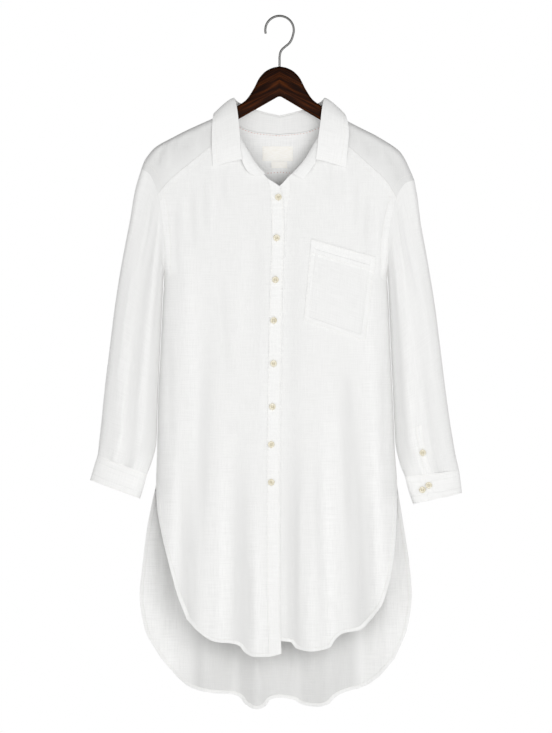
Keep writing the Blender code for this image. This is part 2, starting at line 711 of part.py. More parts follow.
def sleeve(side):
    name = "right" if side == RIGHT else "left"
    rows = SLEEVE[side]
    seam = armhole_offsets(side)
    count = 2 * RING_STEPS
    angles = [math.pi * k / RING_STEPS for k in range(count)]
    places = range(len(rows["depth"]))
    grid = np.array([[tube_point(side, rows, r, a, seam) for a in angles] for r in places])
    grid = trimmed(grid, sides=("top", "bottom"))
    faces = grid_faces(len(grid), count, closed=True)
    wall(f"sleeve_{name}", grid, faces, out_of(grid.mean(axis=1), count))
    return seam


CUFF_EDGE = math.radians(109)      # where the cuff's upper end lies, seen round the sleeve
CUFF_UNDER = math.radians(24)      # how far its lower end reaches under that
CUFF_RISE = math.radians(80)       # the stretch over which the upper end climbs on to the lower one
CUFF_STEPS = 22


def cuff_angle(side, angle):
    """The opening faces the front on the left sleeve and the back on the right one."""
    return angle if side == LEFT else 2 * math.pi - angle


def cuff(side):
    name = "right" if side == RIGHT else "left"
    first, last = CUFF_EDGE - CUFF_UNDER, CUFF_EDGE + 2 * math.pi
    angles = np.linspace(first, last, CUFF_STEPS + 1)
    rows = CUFF[side]
    grid = np.array([[tube_point(side, rows, r, cuff_angle(side, a)) for a in angles] for r in range(3)])
    middle = grid[:, :-2].mean(axis=1)
    outside = grid - middle[:, None]
    outside[:, :, 2] = 0
    outside /= np.linalg.norm(outside, axis=2, keepdims=True)
    lifts = [(CLOTH + SEAM * 2) * ease(1 + (a - last + CUFF_UNDER) / CUFF_RISE) for a in angles]
    grid += outside * np.array(lifts)[None, :, None]
    grid = trimmed(grid, sides=("top",))
    wall(f"cuff_{name}", grid, grid_faces(*grid.shape[:2]), out_of(middle, grid.shape[1]))


PLACKET_ROWS = (7.75, 8.3, 8.8, 9.4, 9.93)
PLACKET_ANGLES = [math.radians(a) for a in (91, 98, 105)]
FACET = 0.5            # extra lift over the flat faces of what a small piece lies on


def sleeve_placket(side, seam):
    name = "right" if side == RIGHT else "left"
    rows = SLEEVE[side]
    angles = [cuff_angle(side, angle) for angle in PLACKET_ANGLES]
    grid = [[tube_point(side, rows, r, a, seam) for a in angles] for r in PLACKET_ROWS]
    face = FRONT if side == LEFT else BACK
    faces = grid_faces(len(PLACKET_ROWS), len(PLACKET_ANGLES))
    wall(f"sleeve_placket_{name}", np.array(grid), faces, outwards(face), lift=SEAM + FACET + CLOTH)


COLLAR_STEPS = (0, 1, 2, 3, 4, *YOKE_FRONT_ROWS, *YOKE_BACK_ROWS[1:])
STAND_SHARES = (0, 0.4, 1)
LEAF_SHARES = (0, 0.15, 0.4, 0.7, 1)
ROW_STEP = 0.2         # step along the seam by which its run is measured
BOW = 4.0              # how far a stand that is folded out bows forward
BASE_CLEAR = 0.3       # extra space where the stand turns over the edge of what it is sewn to
ROLL_OVER = 3.8        # how far the leaf's start clears the top of the stand
ROLL_WIDE = 11.0       # how far it runs out before it falls


def bend(a, b, c, t):
    return a * (1 - t) ** 2 + b * 2 * t * (1 - t) + c * t * t


def collar_points(side, row):
    """One section through stand and leaf."""
    found = collar_section(side, row)
    face = FRONT if row < SHOULDER_ROW else BACK
    turn = found["turn"]
    before = collar_section(side, max(row - ROW_STEP, 0))
    after = collar_section(side, min(row + ROW_STEP, BACK_ROW))
    along_x, along_drop = after["seam_out"] - before["seam_out"], after["seam_drop"] - before["seam_drop"]
    open_way = np.array([-along_drop, along_x])
    open_way = open_way / np.linalg.norm(open_way)
    if open_way @ np.array([-1, -0.8]) < 0:  # it is up and in towards the neck
        open_way = -open_way
    if row >= BACK_ROW:
        open_way = np.array([0, -1])
    base = body_point(face, side * found["seam_out"], found["seam_drop"])
    if row == SHOULDER_ROW:
        base[1] = 0
    shift = open_way * (SEAM + BASE_CLEAR + CLOTH * turn)
    below = below_shoulder(side, found["seam_out"], found["seam_drop"])
    level = -face * CLOTH * (1 - turn) * ease(below / RIDGE_ROUND) + face * BASE_CLEAR * turn
    base += np.array([side * shift[0], level, -shift[1]])
    roll = np.array([side * found["roll_out"], found["roll_y"], -found["roll_drop"]])
    lean = base + (roll - base) * 0.5 * (1 - turn) + np.array([0, -BOW * turn, 0])
    stand = [bend(base, lean, roll, t) for t in STAND_SHARES]
    rise = np.array([0, -turn, 1])
    rise /= np.linalg.norm(rise)
    start = roll + rise * ROLL_OVER
    edge = np.array([side * found["edge_out"], found["edge_y"], -found["edge_drop"]])
    away = (edge - roll) * np.array([1, 1, 0])
    away = away / max(np.linalg.norm(away), 1e-6)
    over = start + away * ROLL_WIDE + rise * ROLL_OVER * (1 - turn)
    leaf = [bend(start, over, edge, t) for t in LEAF_SHARES]
    return stand, leaf


def collar():
    right = [collar_points(RIGHT, row) for row in COLLAR_STEPS]
    left = [collar_points(LEFT, row) for row in COLLAR_STEPS[-2::-1]]
    sections = right + left
    stand = np.array([section[0] for section in sections])
    leaf = np.array([section[1] for section in sections[LEAF_ROW:-LEAF_ROW]])

    def into_neck(points):
        return points * [-1, -1, 0]

    def over_top(points):
        return points * [0.3, 1, 0] + [0, 0, 25]

    wall("collar_stand", stand, grid_faces(*stand.shape[:2]), into_neck)
    wall("collar_leaf", leaf, grid_faces(*leaf.shape[:2]), over_top)


def surface(*names):
    """The faces of finished pieces, to lay others on."""
    corners, faces = [], []
    for name in names:
        mesh = bpy.data.objects[name].data
        faces += [tuple(k + len(corners) for k in p.vertices) for p in mesh.polygons]
        corners += [tuple(v.co) for v in mesh.vertices]
    return BVHTree.FromPolygons(corners, faces)


def touch(tree, x, drop, face):
    """Y of the outermost cloth at a place, seen from the front or the back."""
    far = 1.0
    hit = tree.ray_cast((x * MM, face * far, -drop * MM), (0, -face, 0))
    return hit[0].y / MM


POCKET = {"top_inner": (54, 378), "top_outer": (163, 409), "low_outer": (145, 552), "low_inner": (41, 516)}
POCKET_STEPS = 8
POCKET_HEM = 24.0      # folded hem at its mouth


def pocket(tree):
    corners = {name: np.array(place, float) for name, place in POCKET.items()}
    deep = np.linalg.norm(corners["low_inner"] - corners["top_inner"])

    def laid(shares, lift):
        grid = []
        for v in shares:
            a = corners["top_inner"] + (corners["low_inner"] - corners["top_inner"]) * v
            b = corners["top_outer"] + (corners["low_outer"] - corners["top_outer"]) * v
            row = [a + (b - a) * u / POCKET_STEPS for u in range(POCKET_STEPS + 1)]
            grid.append([[x, touch(tree, x, drop, FRONT) - lift, -drop] for x, drop in row])
        return np.array(grid)

    hem = POCKET_HEM / deep
    shares = np.concatenate([[0, hem / 2, hem], np.linspace(hem, 1, POCKET_STEPS)[1:]])
    body = laid(shares, SEAM + 2 * FACET + CLOTH)
    wall("pocket", body, grid_faces(*body.shape[:2]), outwards(FRONT))
    wall("pocket_hem", body[:3], grid_faces(3, POCKET_STEPS + 1), outwards(FRONT), lift=SEAM + CLOTH)


LABEL_THICK = 0.8
LABELS = {"label": (-29, 23, 219, 244), "label_tab": (-14, 13, 244.6, 256)}
LABEL_STEPS = 4


def labels():
    for name, (left, right, top, low) in LABELS.items():
        grid = []
        for drop in np.linspace(top, low, 3):
            xs = np.linspace(left, right, LABEL_STEPS + 1)
            depths = [depth(BACK, x, drop) - CLOTH - SEAM - FACET - LABEL_THICK for x in xs]
            grid.append([[x, y, -drop] for x, y in zip(xs, depths)])
        faces = grid_faces(3, LABEL_STEPS + 1)
        wall(name, np.array(grid), faces, outwards(FRONT), thickness=LABEL_THICK, finish=LABEL)


BUTTON_PROFILE = table(
    "radius high", (0.32, 0.55), (0.38, 1), (0.46, 1), (0.5, 0.65), (0.5, 0.2), (0.46, 0),
)
BUTTON_SIDES = 14
BUTTONS = table(
    "x drop",
    (-2, 307), (-5, 376), (-7, 447), (-10, 516), (-10, 589), (-12, 662), (-14, 726), (-14, 790),
)


def button(name, place, way):
    """A disc with a raised rim whose back lies at the place."""
    way = way / np.linalg.norm(way)
    side = np.cross(way, [0.0, 0.0, 1.0])
    side /= np.linalg.norm(side)
    up = np.cross(side, way)
    points = []
    for radius, high in zip(BUTTON_PROFILE["radius"], BUTTON_PROFILE["high"]):
        for k in range(BUTTON_SIDES):
            angle = 2 * math.pi * k / BUTTON_SIDES
            flat = side * math.cos(angle) + up * math.sin(angle)
            points.append(place + flat * radius * BUTTON + way * high * BUTTON_THICK)
    faces = grid_faces(len(BUTTON_PROFILE["high"]), BUTTON_SIDES, closed=True)
    faces += [tuple(range(BUTTON_SIDES)), tuple(range(len(points) - BUTTON_SIDES, len(points)))]
    return add(name, points, faces, SHELL)


def seat(tree, x, drop, face):
    """Where a button's back clears the cloth under the whole of it."""
    reach = BUTTON / 2
    ys = [touch(tree, x, drop, face)]
    for k in range(BUTTON_SIDES):
        angle = 2 * math.pi * k / BUTTON_SIDES
        for share in (0.5, 0.9, 1):
            along_x, along_drop = reach * share * math.cos(angle), reach * share * math.sin(angle)
            ys.append(touch(tree, x + along_x, drop + along_drop, face))
    return np.array([x, (min(ys) if face == FRONT else max(ys)) + face * SEAM, -drop])


# Buttons at a sleeve's end: how far from the outer line, and how far down the sleeve or cuff
CUFF_BUTTONS = table("row share", (8.7, 0.565), (0.86, 0.61), (1.12, 0.745))


def cuff_buttons(side, seam):
    name = "right" if side == RIGHT else "left"
    tree = surface(f"sleeve_{name}", f"sleeve_placket_{name}", f"cuff_{name}")
    face = FRONT if side == LEFT else BACK
    for k, (row, share) in enumerate(zip(CUFF_BUTTONS["row"], CUFF_BUTTONS["share"])):
        on_placket = k == 0
        angle = cuff_angle(side, math.acos(1 - 2 * share))
        rows = SLEEVE[side] if on_placket else CUFF[side]
        place = tube_point(side, rows, row, angle, seam if on_placket else None)
        spot = seat(tree, place[0], -place[2], face)
        button(f"cuff_button_{name}_{k + 1}", spot, np.array([0.0, face, 0.0]))


# The hanger: half of its outline, from the crown out along one arm
CROWN = table("out top", (0, 84), (9, 85.5), (21, 90.5), (34, 103), (44, 122), (57, 141), (72, 151.5))
UNDER_PEAK = 134.0     # drop of the point under the crown
UNDER_START = 88.0     # the straight lower edge runs from the point under the crown to here
ARM_DEEP = 23.0
ARM_START, ARM_END = 92.0, 184.0
ARM_TIP = ((5, 8), (4, 17))            # corners of its tip, out from its end and down from its top
ARM_LOW_END = 180.0
ARM_SHY = 4.2          # space between the cloth's outer face and the wood under it
ARM_POINTS = 6
CROWN_POINTS = 14
HOLE_DEEP = 20.0
HOOK_DEEP = 18.0


def arm_top(side, out):
    return smooth(SHOULDER[side]["out"], SHOULDER[side]["drop"], out) + ARM_SHY


def hanger_outline():
    halves = {}
    crown_outs = np.linspace(0, CROWN["out"][-1], CROWN_POINTS)
    arm_outs = np.linspace(ARM_START, ARM_END, ARM_POINTS)
    low_outs = np.linspace(ARM_LOW_END, UNDER_START, ARM_POINTS)
    for side in (RIGHT, LEFT):
        top = [(out, smooth(CROWN["out"], CROWN["top"], out)) for out in crown_outs]
        arm = [(out, arm_top(side, out)) for out in arm_outs]
        end = [(ARM_END + out, arm[-1][1] + down) for out, down in ARM_TIP]
        low = [(out, arm_top(side, out) + ARM_DEEP) for out in low_outs]
        halves[side] = [(side * out, drop) for out, drop in top + arm + end + low]
    return halves[LEFT] + [(0, UNDER_PEAK)] + halves[RIGHT][:0:-1]


def hanger():
    outline = hanger_outline()
    shape = bmesh.new()
    face = shape.faces.new([shape.verts.new((x * MM, -WOOD / 2 * MM, -drop * MM)) for x, drop in outline])
    grown = bmesh.ops.extrude_face_region(shape, geom=[face])
    moved = [item for item in grown["geom"] if isinstance(item, bmesh.types.BMVert)]
    bmesh.ops.translate(shape, verts=moved, vec=(0, WOOD * MM, 0))
    bmesh.ops.recalc_face_normals(shape, faces=shape.faces)
    mesh = bpy.data.meshes.new("hanger_wood")
    shape.to_mesh(mesh)
    shape.free()
    mesh.materials.append(WALNUT)
    wood = bpy.data.objects.new("hanger_wood", mesh)
    PARTS.objects.link(wood)
    rounding = wood.modifiers.new("rounding", "BEVEL")
    rounding.width = WOOD_EDGE * MM
    rounding.segments = 2
    rounding.limit_method = "ANGLE"
    rounding.angle_limit = math.radians(60)
    bpy.ops.mesh.primitive_cylinder_add(
        vertices=16, radius=(WIRE / 2 + SEAM) * MM, depth=2 * HOLE_DEEP * MM,
        location=(0, 0, -CROWN["top"][0] * MM),
    )
    cutter = bpy.context.object
    cutter.name = "hook_hole"
    cutter.hide_render = True
    cutter.display_type = "WIRE"
    hole = wood.modifiers.new("hook_hole", "BOOLEAN")
    hole.object = cutter
    mesh.shade_smooth()


# Below the bend the wire swings back over the stem
HOOK_NECK = table("x drop", (20.5, 38), (16, 45), (10, 50), (4.5, 55), (1.2, 61), (0, 70))
HOOK_BEND = (195, -14)  # degrees of the round bend, from the tip over the top
HOOK_POINTS = 26
WIRE_STEPS = 48        # points of the wire's path


def hook():
    centre = HOOK_RADIUS - WIRE / 2
    bend_points = []
    for k in range(HOOK_POINTS + 1):
        angle = math.radians(HOOK_BEND[0] + (HOOK_BEND[1] - HOOK_BEND[0]) * k / HOOK_POINTS)
        bend_points.append((HOOK_RADIUS * math.cos(angle), centre - HOOK_RADIUS * math.sin(angle)))
    neck = list(zip(HOOK_NECK["x"], HOOK_NECK["drop"])) + [(0, CROWN["top"][0] + HOOK_DEEP)]
    whole = bend_points + neck
    columns = {"x": np.array([p[0] for p in whole]), "drop": np.array([p[1] for p in whole])}
    line = along(columns, "x drop", WIRE_STEPS)
    curve = bpy.data.curves.new("hanger_hook", "CURVE")
    curve.dimensions = "3D"
    curve.bevel_depth = WIRE / 2 * MM
    curve.bevel_resolution = 2
    curve.use_fill_caps = True
    spline = curve.splines.new("POLY")
    spline.points.add(len(line) - 1)
    for point, (x, drop) in zip(spline.points, line):
        point.co = (x * MM, 0, -drop * MM, 1)
    curve.materials.append(STEEL)
    PARTS.objects.link(bpy.data.objects.new("hanger_hook", curve))


front(RIGHT)
front(LEFT)
back()
yoke()
for side in (RIGHT, LEFT):
    seam = sleeve(side)
    cuff(side)
    sleeve_placket(side, seam)
    cuff_buttons(side, seam)
collar()
pocket(surface("front_left"))
labels()
placket_surface = surface("placket_right")
for k, (x, drop) in enumerate(zip(BUTTONS["x"], BUTTONS["drop"])):
    button(f"button_{k + 1}", seat(placket_surface, x, drop, FRONT), np.array([0.0, FRONT, 0.0]))
hanger()
hook()
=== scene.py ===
import math

import bmesh
import bpy
import numpy as np
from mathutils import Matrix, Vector
from mathutils.bvhtree import BVHTree


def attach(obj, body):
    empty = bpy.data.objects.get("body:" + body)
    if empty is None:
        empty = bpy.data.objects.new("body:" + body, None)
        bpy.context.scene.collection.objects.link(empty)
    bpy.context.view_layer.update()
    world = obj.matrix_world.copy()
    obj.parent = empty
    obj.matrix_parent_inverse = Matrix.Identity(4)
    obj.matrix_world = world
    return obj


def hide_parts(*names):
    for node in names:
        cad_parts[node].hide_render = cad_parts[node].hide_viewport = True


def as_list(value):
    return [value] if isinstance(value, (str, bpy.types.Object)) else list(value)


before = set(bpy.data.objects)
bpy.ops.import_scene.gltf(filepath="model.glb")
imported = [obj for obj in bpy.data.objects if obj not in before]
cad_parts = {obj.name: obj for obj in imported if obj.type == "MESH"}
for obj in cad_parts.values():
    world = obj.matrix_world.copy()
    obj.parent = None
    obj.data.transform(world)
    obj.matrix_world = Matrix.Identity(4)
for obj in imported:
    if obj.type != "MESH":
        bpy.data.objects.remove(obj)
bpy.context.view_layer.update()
print("frame loaded:", len(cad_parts), "nodes")

# Sizes are in millimetres, in the frame's axes: X to the wearer's left, Y to the back, Z up.
# "drop" is the distance below the hook's bend, "out" the distance from the centre line.
mm = 0.001
rightSide, leftSide = -1, 1
bothSides = (rightSide, leftSide)
sideNames = {rightSide: "Right", leftSide: "Left"}
frontFace, backFace = -1, 1
layerGap = 0.3         # between layers that lie on one another
noEdge = 99.0          # a gap to a hem or seam that is too far away to show
noSeams = {"hemGap": noEdge, "seamGap": noEdge}
fineSteps = 200        # points of an edge that is measured
sharpAngle = math.radians(50)


def table(names, *rows):
    return dict(zip(names.split(), np.array(rows, float).T))


def smoothCurve(xs, ys, at):  # through the points, without overshoot
    step, at = np.diff(xs), np.clip(at, xs[0], xs[-1])
    rise = np.diff(ys) / step
    slope = np.zeros(len(xs))
    slope[0], slope[-1] = rise[0], rise[-1]
    near, far = 2 * step[1:] + step[:-1], step[1:] + 2 * step[:-1]
    same = rise[:-1] * rise[1:] > 0
    before, after = np.where(same, rise[:-1], 1), np.where(same, rise[1:], 1)
    slope[1:-1] = np.where(same, (near + far) / (near / before + far / after), 0)
    k = np.clip(np.searchsorted(xs, at) - 1, 0, len(step) - 1)
    t = (at - xs[k]) / step[k]
    ends = ys[k] * (1 + 2 * t) * (1 - t) ** 2 + ys[k + 1] * t * t * (3 - 2 * t)
    return ends + step[k] * t * (1 - t) * (slope[k] * (1 - t) - slope[k + 1] * t)


def runLengths(points):
    return np.concatenate([[0], np.cumsum(np.linalg.norm(np.diff(points, axis=0), axis=1))])


def along(rows, names, shares):  # points at shares of the length of a curve through a table
    points = np.array([rows[name] for name in names.split()]).T
    lengths = runLengths(points)
    at = np.asarray(shares) * lengths[-1]
    return np.stack([smoothCurve(lengths, points[:, c], at) for c in range(points.shape[1])], axis=1)


def evenly(count):
    return np.linspace(0, 1, count)


def ease(t):
    t = np.clip(t, 0, 1)
    return t * t * (3 - 2 * t)


# The body's form: shoulder line, armholes, sides and how far the cloth hangs from the middle plane
bodyForm = {
    "cloth": 1.0,          # wall
    "ridgeDepth": 11.0,    # half depth just under the shoulder line
    "ridgeRound": 10.0,
    "sideRound": 42.0,     # width of the rounding at a closed side
    "foldsFrom": 30.0, "creasesFrom": 9.0,  # how far below the shoulder they are full
    "creaseShade": 1.6,    # painted shade: a crease is painted darker than its height alone would give
    "yokePoint": 4,        # the armhole's point at the yoke's front seam
    "armpit": 438.0,
    "slit": 795.0,
    "shoulder": {
        rightSide: table(
            "out drop",
            (0, 118), (45, 132), (90, 158), (113, 172), (135, 182), (161, 194), (186, 207),
            (203, 216), (213, 223), (222, 233), (230, 245), (235, 258),
        ),
        leftSide: table(
            "out drop",
            (0, 118), (45, 132), (90, 160), (116, 177), (137, 188), (161, 200), (180, 211),
            (194, 220), (204, 228), (213, 241), (221, 258), (229, 277),
        ),
    },
    "armhole": {
        rightSide: table(
            "out drop",
            (235, 258), (222, 266), (213, 282), (207, 299), (203, 316), (199, 345), (196, 387), (196, 438),
        ),
        leftSide: table(
            "out drop",
            (229, 277), (215, 282), (205, 294), (198, 308), (194, 322), (188, 350), (183, 390), (183, 438),
        ),
    },
    "side": {
        rightSide: table(
            "drop out open",
            (258, 235, 1), (316, 203, 1), (345, 199, 0.9),
            (387, 196, 0.75), (420, 196, 0.45), (438, 196, 0),
            (481, 198, 0), (566, 202, 0), (651, 206, 0), (736, 208, 0), (795, 210, 0),
            (822, 209, 0.4), (872, 202, 0.7), (960, 180, 1), (1200, 100, 1),
        ),
        leftSide: table(
            "drop out open",
            (277, 229, 1), (322, 194, 1), (350, 188, 0.9),
            (390, 183, 0.75), (420, 183, 0.45), (438, 183, 0),
            (481, 185, 0), (566, 188.5, 0), (651, 192.5, 0), (736, 196, 0), (795, 200, 0),
            (822, 200, 0.4), (872, 198, 0.7), (960, 186, 1), (1200, 100, 1),
        ),
    },
    "hang": table(
        "below more", (0, 0), (10, 0), (60, 5), (170, 11), (300, 16), (450, 20), (650, 25), (950, 29),
    ),
}
shoulderLine = {side: along(bodyForm["shoulder"][side], "out drop", evenly(90)) for side in bothSides}

# Large folds: from (x0, drop0) to (x1, drop1), half width and rise; a trough's rise is negative
foldNames = "x0 drop0 x1 drop1 half rise"
# One over the share of its length in which a fold swells, and a crease swells and fades
foldEnds = {"swell": 1.6, "creaseIn": 3, "creaseOut": 2.5}
frontFolds = table(
    foldNames,
    (-114, 440, -160, 1040, 15, -7), (-67, 660, -67, 1100, 15, -6), (-96, 620, -100, 1090, 17, 7),
    (-172, 640, -184, 960, 15, 5), (-38, 740, -38, 1100, 14, 6), (-160, 330, -150, 560, 16, 3),
    (24, 620, 22, 1090, 13, -6), (104, 520, 141, 1050, 15, -7), (74, 560, 88, 1090, 16, 7),
    (158, 620, 172, 1010, 15, 6), (140, 340, 150, 520, 16, 3), (50, 860, 52, 1090, 12, 4),
)
backFolds = table(
    foldNames,
    (-172, 520, -184, 1130, 19, 8), (-120, 400, -127, 1180, 19, -9), (-70, 460, -76, 1180, 17, 9),
    (-34, 620, -38, 1200, 15, -9), (28, 420, 32, 1200, 17, 8), (76, 480, 84, 1200, 19, -9),
    (132, 440, 141, 1170, 17, 9), (176, 600, 186, 1120, 15, -7), (-10, 330, -6, 900, 14, 4),
)
# Small creases, which fade out at both ends
frontCreases = table(
    foldNames,
    (-196, 204, -198, 236, 3, -2.6), (-204, 218, -206, 256, 3, -2.8), (-178, 198, -180, 226, 3, -2.2),
    (-188, 214, -190, 262, 5, 1.2), (-160, 196, -161, 232, 5, -0.9), (-141, 188, -140, 236, 6, 0.9),
    (186, 214, 190, 256, 4, -1.3), (172, 208, 174, 250, 4, 1.0), (150, 198, 152, 244, 5, -0.9),
    (200, 232, 202, 286, 5, -1.5), (132, 190, 133, 232, 5, 0.8),
    (-150, 268, -143, 420, 5, -1.6), (-131, 255, -124, 372, 4, -1.3), (-112, 240, -116, 395, 5, 1.2),
    (-165, 285, -160, 380, 4, 1.3), (-96, 232, -92, 330, 4, -1.0), (-178, 300, -172, 455, 5, -1.5),
    (-139, 560, -148, 1010, 7, 1.8), (-124, 700, -134, 1045, 6, -1.6), (-81, 820, -84, 1070, 6, 1.7),
    (-52, 900, -50, 1085, 6, -1.6), (-188, 500, -181, 800, 6, -1.4), (-60, 330, -74, 620, 8, 1.1),
    (-99, 420, -84, 640, 7, -1.1), (-30, 480, -32, 760, 6, 1.0), (-168, 700, -160, 960, 6, -1.6),
    (-21, 960, -24, 1090, 5, 1.5), (-152, 900, -150, 1040, 5, 1.4),
    (150, 282, 143, 430, 5, -1.5), (131, 255, 128, 372, 4, -1.2), (164, 296, 168, 420, 4, 1.3),
    (176, 308, 172, 470, 5, -1.5), (110, 240, 118, 330, 4, 1.0), (88, 225, 84, 320, 4, -0.9),
    (122, 700, 132, 1040, 6, 1.6), (146, 780, 158, 1030, 6, -1.7), (60, 700, 66, 1080, 6, -1.5),
    (36, 780, 34, 1080, 6, 1.5), (176, 540, 178, 800, 5, -1.4), (92, 600, 108, 900, 7, 1.3),
    (10, 900, 10, 1080, 5, 1.3), (165, 860, 170, 1010, 5, -1.4), (112, 590, 120, 700, 6, -1.2),
    (26, 300, 22, 760, 11, -1.0), (-34, 300, -36, 700, 10, -0.8),
)
backCreases = table(
    foldNames,
    (-160, 292, -152, 520, 6, -1.8), (-100, 280, -96, 500, 6, 1.6), (-54, 275, -50, 470, 5, -1.5),
    (-20, 270, -16, 610, 6, 1.6), (16, 268, 12, 540, 5, -1.5), (58, 275, 60, 480, 6, 1.6),
    (104, 280, 108, 560, 6, -1.7), (152, 292, 158, 500, 6, 1.5), (-146, 640, -152, 1130, 7, -1.8),
    (-98, 720, -102, 1150, 7, 1.8), (-54, 800, -56, 1165, 6, -1.6), (-8, 820, -4, 1160, 7, 1.9),
    (52, 760, 56, 1170, 7, -1.8), (104, 700, 110, 1150, 7, 1.7), (158, 760, 164, 1110, 7, -1.7),
    (-200, 850, -212, 1060, 6, 1.6), (192, 860, 204, 1050, 6, 1.5), (-30, 1000, -28, 1170, 5, 1.4),
)


def foldHeight(rows, across, down, fades=False):
    across, down = np.broadcast_arrays(np.asarray(across, float), np.asarray(down, float))
    total = np.zeros(across.shape)
    for x0, drop0, x1, drop1, half, rise in zip(*(rows[name] for name in foldNames.split())):
        share = (down - drop0) / (drop1 - drop0)
        swell = ease(share * foldEnds["swell"])
        if fades:
            swell = ease(share * foldEnds["creaseIn"]) * ease((1 - share) * foldEnds["creaseOut"])
        total += rise * swell * np.exp(-(((across - x0 - (x1 - x0) * share) / half) ** 2))
    return total


def bySide(x, find):  # find(side, chosen) gives the values of the chosen points of one side
    found = np.zeros(np.shape(x))
    for side in bothSides:
        chosen = (x < 0) if side == rightSide else (x >= 0)
        if chosen.any():
            found[chosen] = find(side, chosen)
    return found


def belowShoulder(x, drop):
    def find(side, chosen):
        line = shoulderLine[side]
        points = np.stack([abs(x[chosen]), drop[chosen]], axis=1)[:, None]
        starts, spans = line[:-1], np.diff(line, axis=0)
        shares = np.clip(((points - starts) * spans).sum(2) / (spans**2).sum(1), 0, 1)
        return np.linalg.norm(points - starts - spans * shares[..., None], axis=2).min(1)

    return bySide(x, find)


def bodyDepth(face, x, drop):  # how far the cloth stands from the middle plane
    x, drop = np.asarray(x, float), np.asarray(drop, float)
    below = belowShoulder(x, drop)
    roundOff = 1 - np.minimum(below, bodyForm["ridgeRound"]) / bodyForm["ridgeRound"]
    base = bodyForm["ridgeDepth"] * np.sqrt(1 - roundOff**2)
    base += smoothCurve(bodyForm["hang"]["below"], bodyForm["hang"]["more"], below)
    sides = bodyForm["side"]
    edge = bySide(x, lambda side, c: smoothCurve(sides[side]["drop"], sides[side]["out"], drop[c]))
    opened = bySide(x, lambda side, c: smoothCurve(sides[side]["drop"], sides[side]["open"], drop[c]))
    turn = 1 - np.clip(edge - abs(x), 0, bodyForm["sideRound"]) / bodyForm["sideRound"]
    rounding = opened + (1 - opened) * np.sqrt(1 - turn**2)
    large, small = bodyFolds(face, x, drop)
    base += large * ease(below / bodyForm["foldsFrom"]) + small * ease(below / bodyForm["creasesFrom"])
    return base * rounding


def bodyFolds(face, x, drop):
    large, small = (frontFolds, frontCreases) if face == frontFace else (backFolds, backCreases)
    return foldHeight(large, x, drop), foldHeight(small, x, drop, True)


def bodyRelief(face, x, drop):  # height of the folds and creases, for the shade and light painted on the cloth
    large, small = bodyFolds(face, x, drop)
    return large + bodyForm["creaseShade"] * small


def bodyPoints(face, x, drop, inset=0):
    return np.stack([x, face * (bodyDepth(face, x, drop) - inset), -drop], axis=-1)


def patch(top, bottom, start, end, us, vs):  # points of a surface between four edges: [v][u]
    u, v = us[None, :, None], vs[:, None, None]
    top, bottom, start, end = top[None], bottom[None], start[:, None], end[:, None]
    corners = (1 - u) * (1 - v) * top[:, :1] + u * (1 - v) * top[:, -1:]
    corners = corners + (1 - u) * v * bottom[:, :1] + u * v * bottom[:, -1:]
    return (1 - v) * top + v * bottom + (1 - u) * start + u * end - corners


def gridFaces(rows, columns, closed=False):
    j, i = np.meshgrid(np.arange(rows - 1), np.arange(columns if closed else columns - 1), indexing="ij")
    k = (i + 1) % columns
    upper, lower = j * columns, (j + 1) * columns
    return np.stack([upper + i, upper + k, lower + k, lower + i], axis=-1).reshape(-1, 4)


def vertexNormals(points, faces):
    corners = points[faces]
    across = np.cross(corners[:, 2] - corners[:, 0], corners[:, 3] - corners[:, 1])
    normals = np.zeros_like(points)
    for k in range(4):
        np.add.at(normals, faces[:, k], across)
    return normals / np.maximum(np.linalg.norm(normals, axis=1, keepdims=True), 1e-12)


pieces = {}


def addMesh(name, points, faces, material, uvs=None, values=None):
    mesh = bpy.data.meshes.new(name)
    mesh.from_pydata((np.asarray(points) * mm).tolist(), [], [tuple(face) for face in faces])
    mesh.materials.append(material)
    mesh.shade_smooth()
    mesh.set_sharp_from_angle(angle=sharpAngle)
    if uvs is not None:  # millimetres along the cloth's own threads
        loops = np.zeros(len(mesh.loops), int)
        mesh.loops.foreach_get("vertex_index", loops)
        laid = np.array(uvs)[loops].reshape(-1, 4, 2)
        u = laid[..., 0]   # a face across a tube's seam has its low end moved on to the high one
        wide = np.ptp(u, axis=1) > np.ptp(u) / 2
        u += np.where(wide[:, None] & (u < u.max() / 2), u.max(), 0)
        mesh.uv_layers.new(name="threads").data.foreach_set("uv", laid.ravel())
    for key, found in (values or {}).items():
        mesh.attributes.new(key, "FLOAT", "POINT").data.foreach_set("value", found)
    piece = bpy.data.objects.new(name, mesh)
    bpy.context.scene.collection.objects.link(piece)
    pieces[name] = piece
    return piece


def wall(name, points, faces, way, material, uvs, thick=None, lift=0, values=None):
    # A closed wall on a sheet of points, which is its outer face; way(points) points out of it
    thick = thick or bodyForm["cloth"]
    points = np.asarray(points, float).reshape(-1, 3)
    normals = vertexNormals(points, faces)
    if (normals * way(points)).sum() < 0:
        faces, normals = faces[:, ::-1], -normals
    normals[abs(points[:, 1]) < layerGap, 1] = 0  # straight up on the shoulder's ridge
    normals /= np.maximum(np.linalg.norm(normals, axis=1, keepdims=True), 1e-12)
    outer = points + normals * lift
    count = len(points)
    edges = np.concatenate([faces[:, [k, (k + 1) % 4]] for k in range(4)])
    codes, reverse = edges[:, 0] * count + edges[:, 1], edges[:, 1] * count + edges[:, 0]
    rim = edges[~np.isin(codes, reverse)]
    sides = np.stack([rim[:, 1], rim[:, 0], rim[:, 0] + count, rim[:, 1] + count], axis=1)
    every = np.concatenate([faces, faces[:, ::-1] + count, sides])
    twice = np.concatenate([np.asarray(uvs).reshape(-1, 2)] * 2)
    doubled = {}           # a value may be given for the outer and the inner face in turn
    for key, found in (values or {}).items():
        doubled[key] = np.resize(found, 2 * count)
    return addMesh(name, np.concatenate([outer, outer - normals * thick]), every, material, twice, doubled)


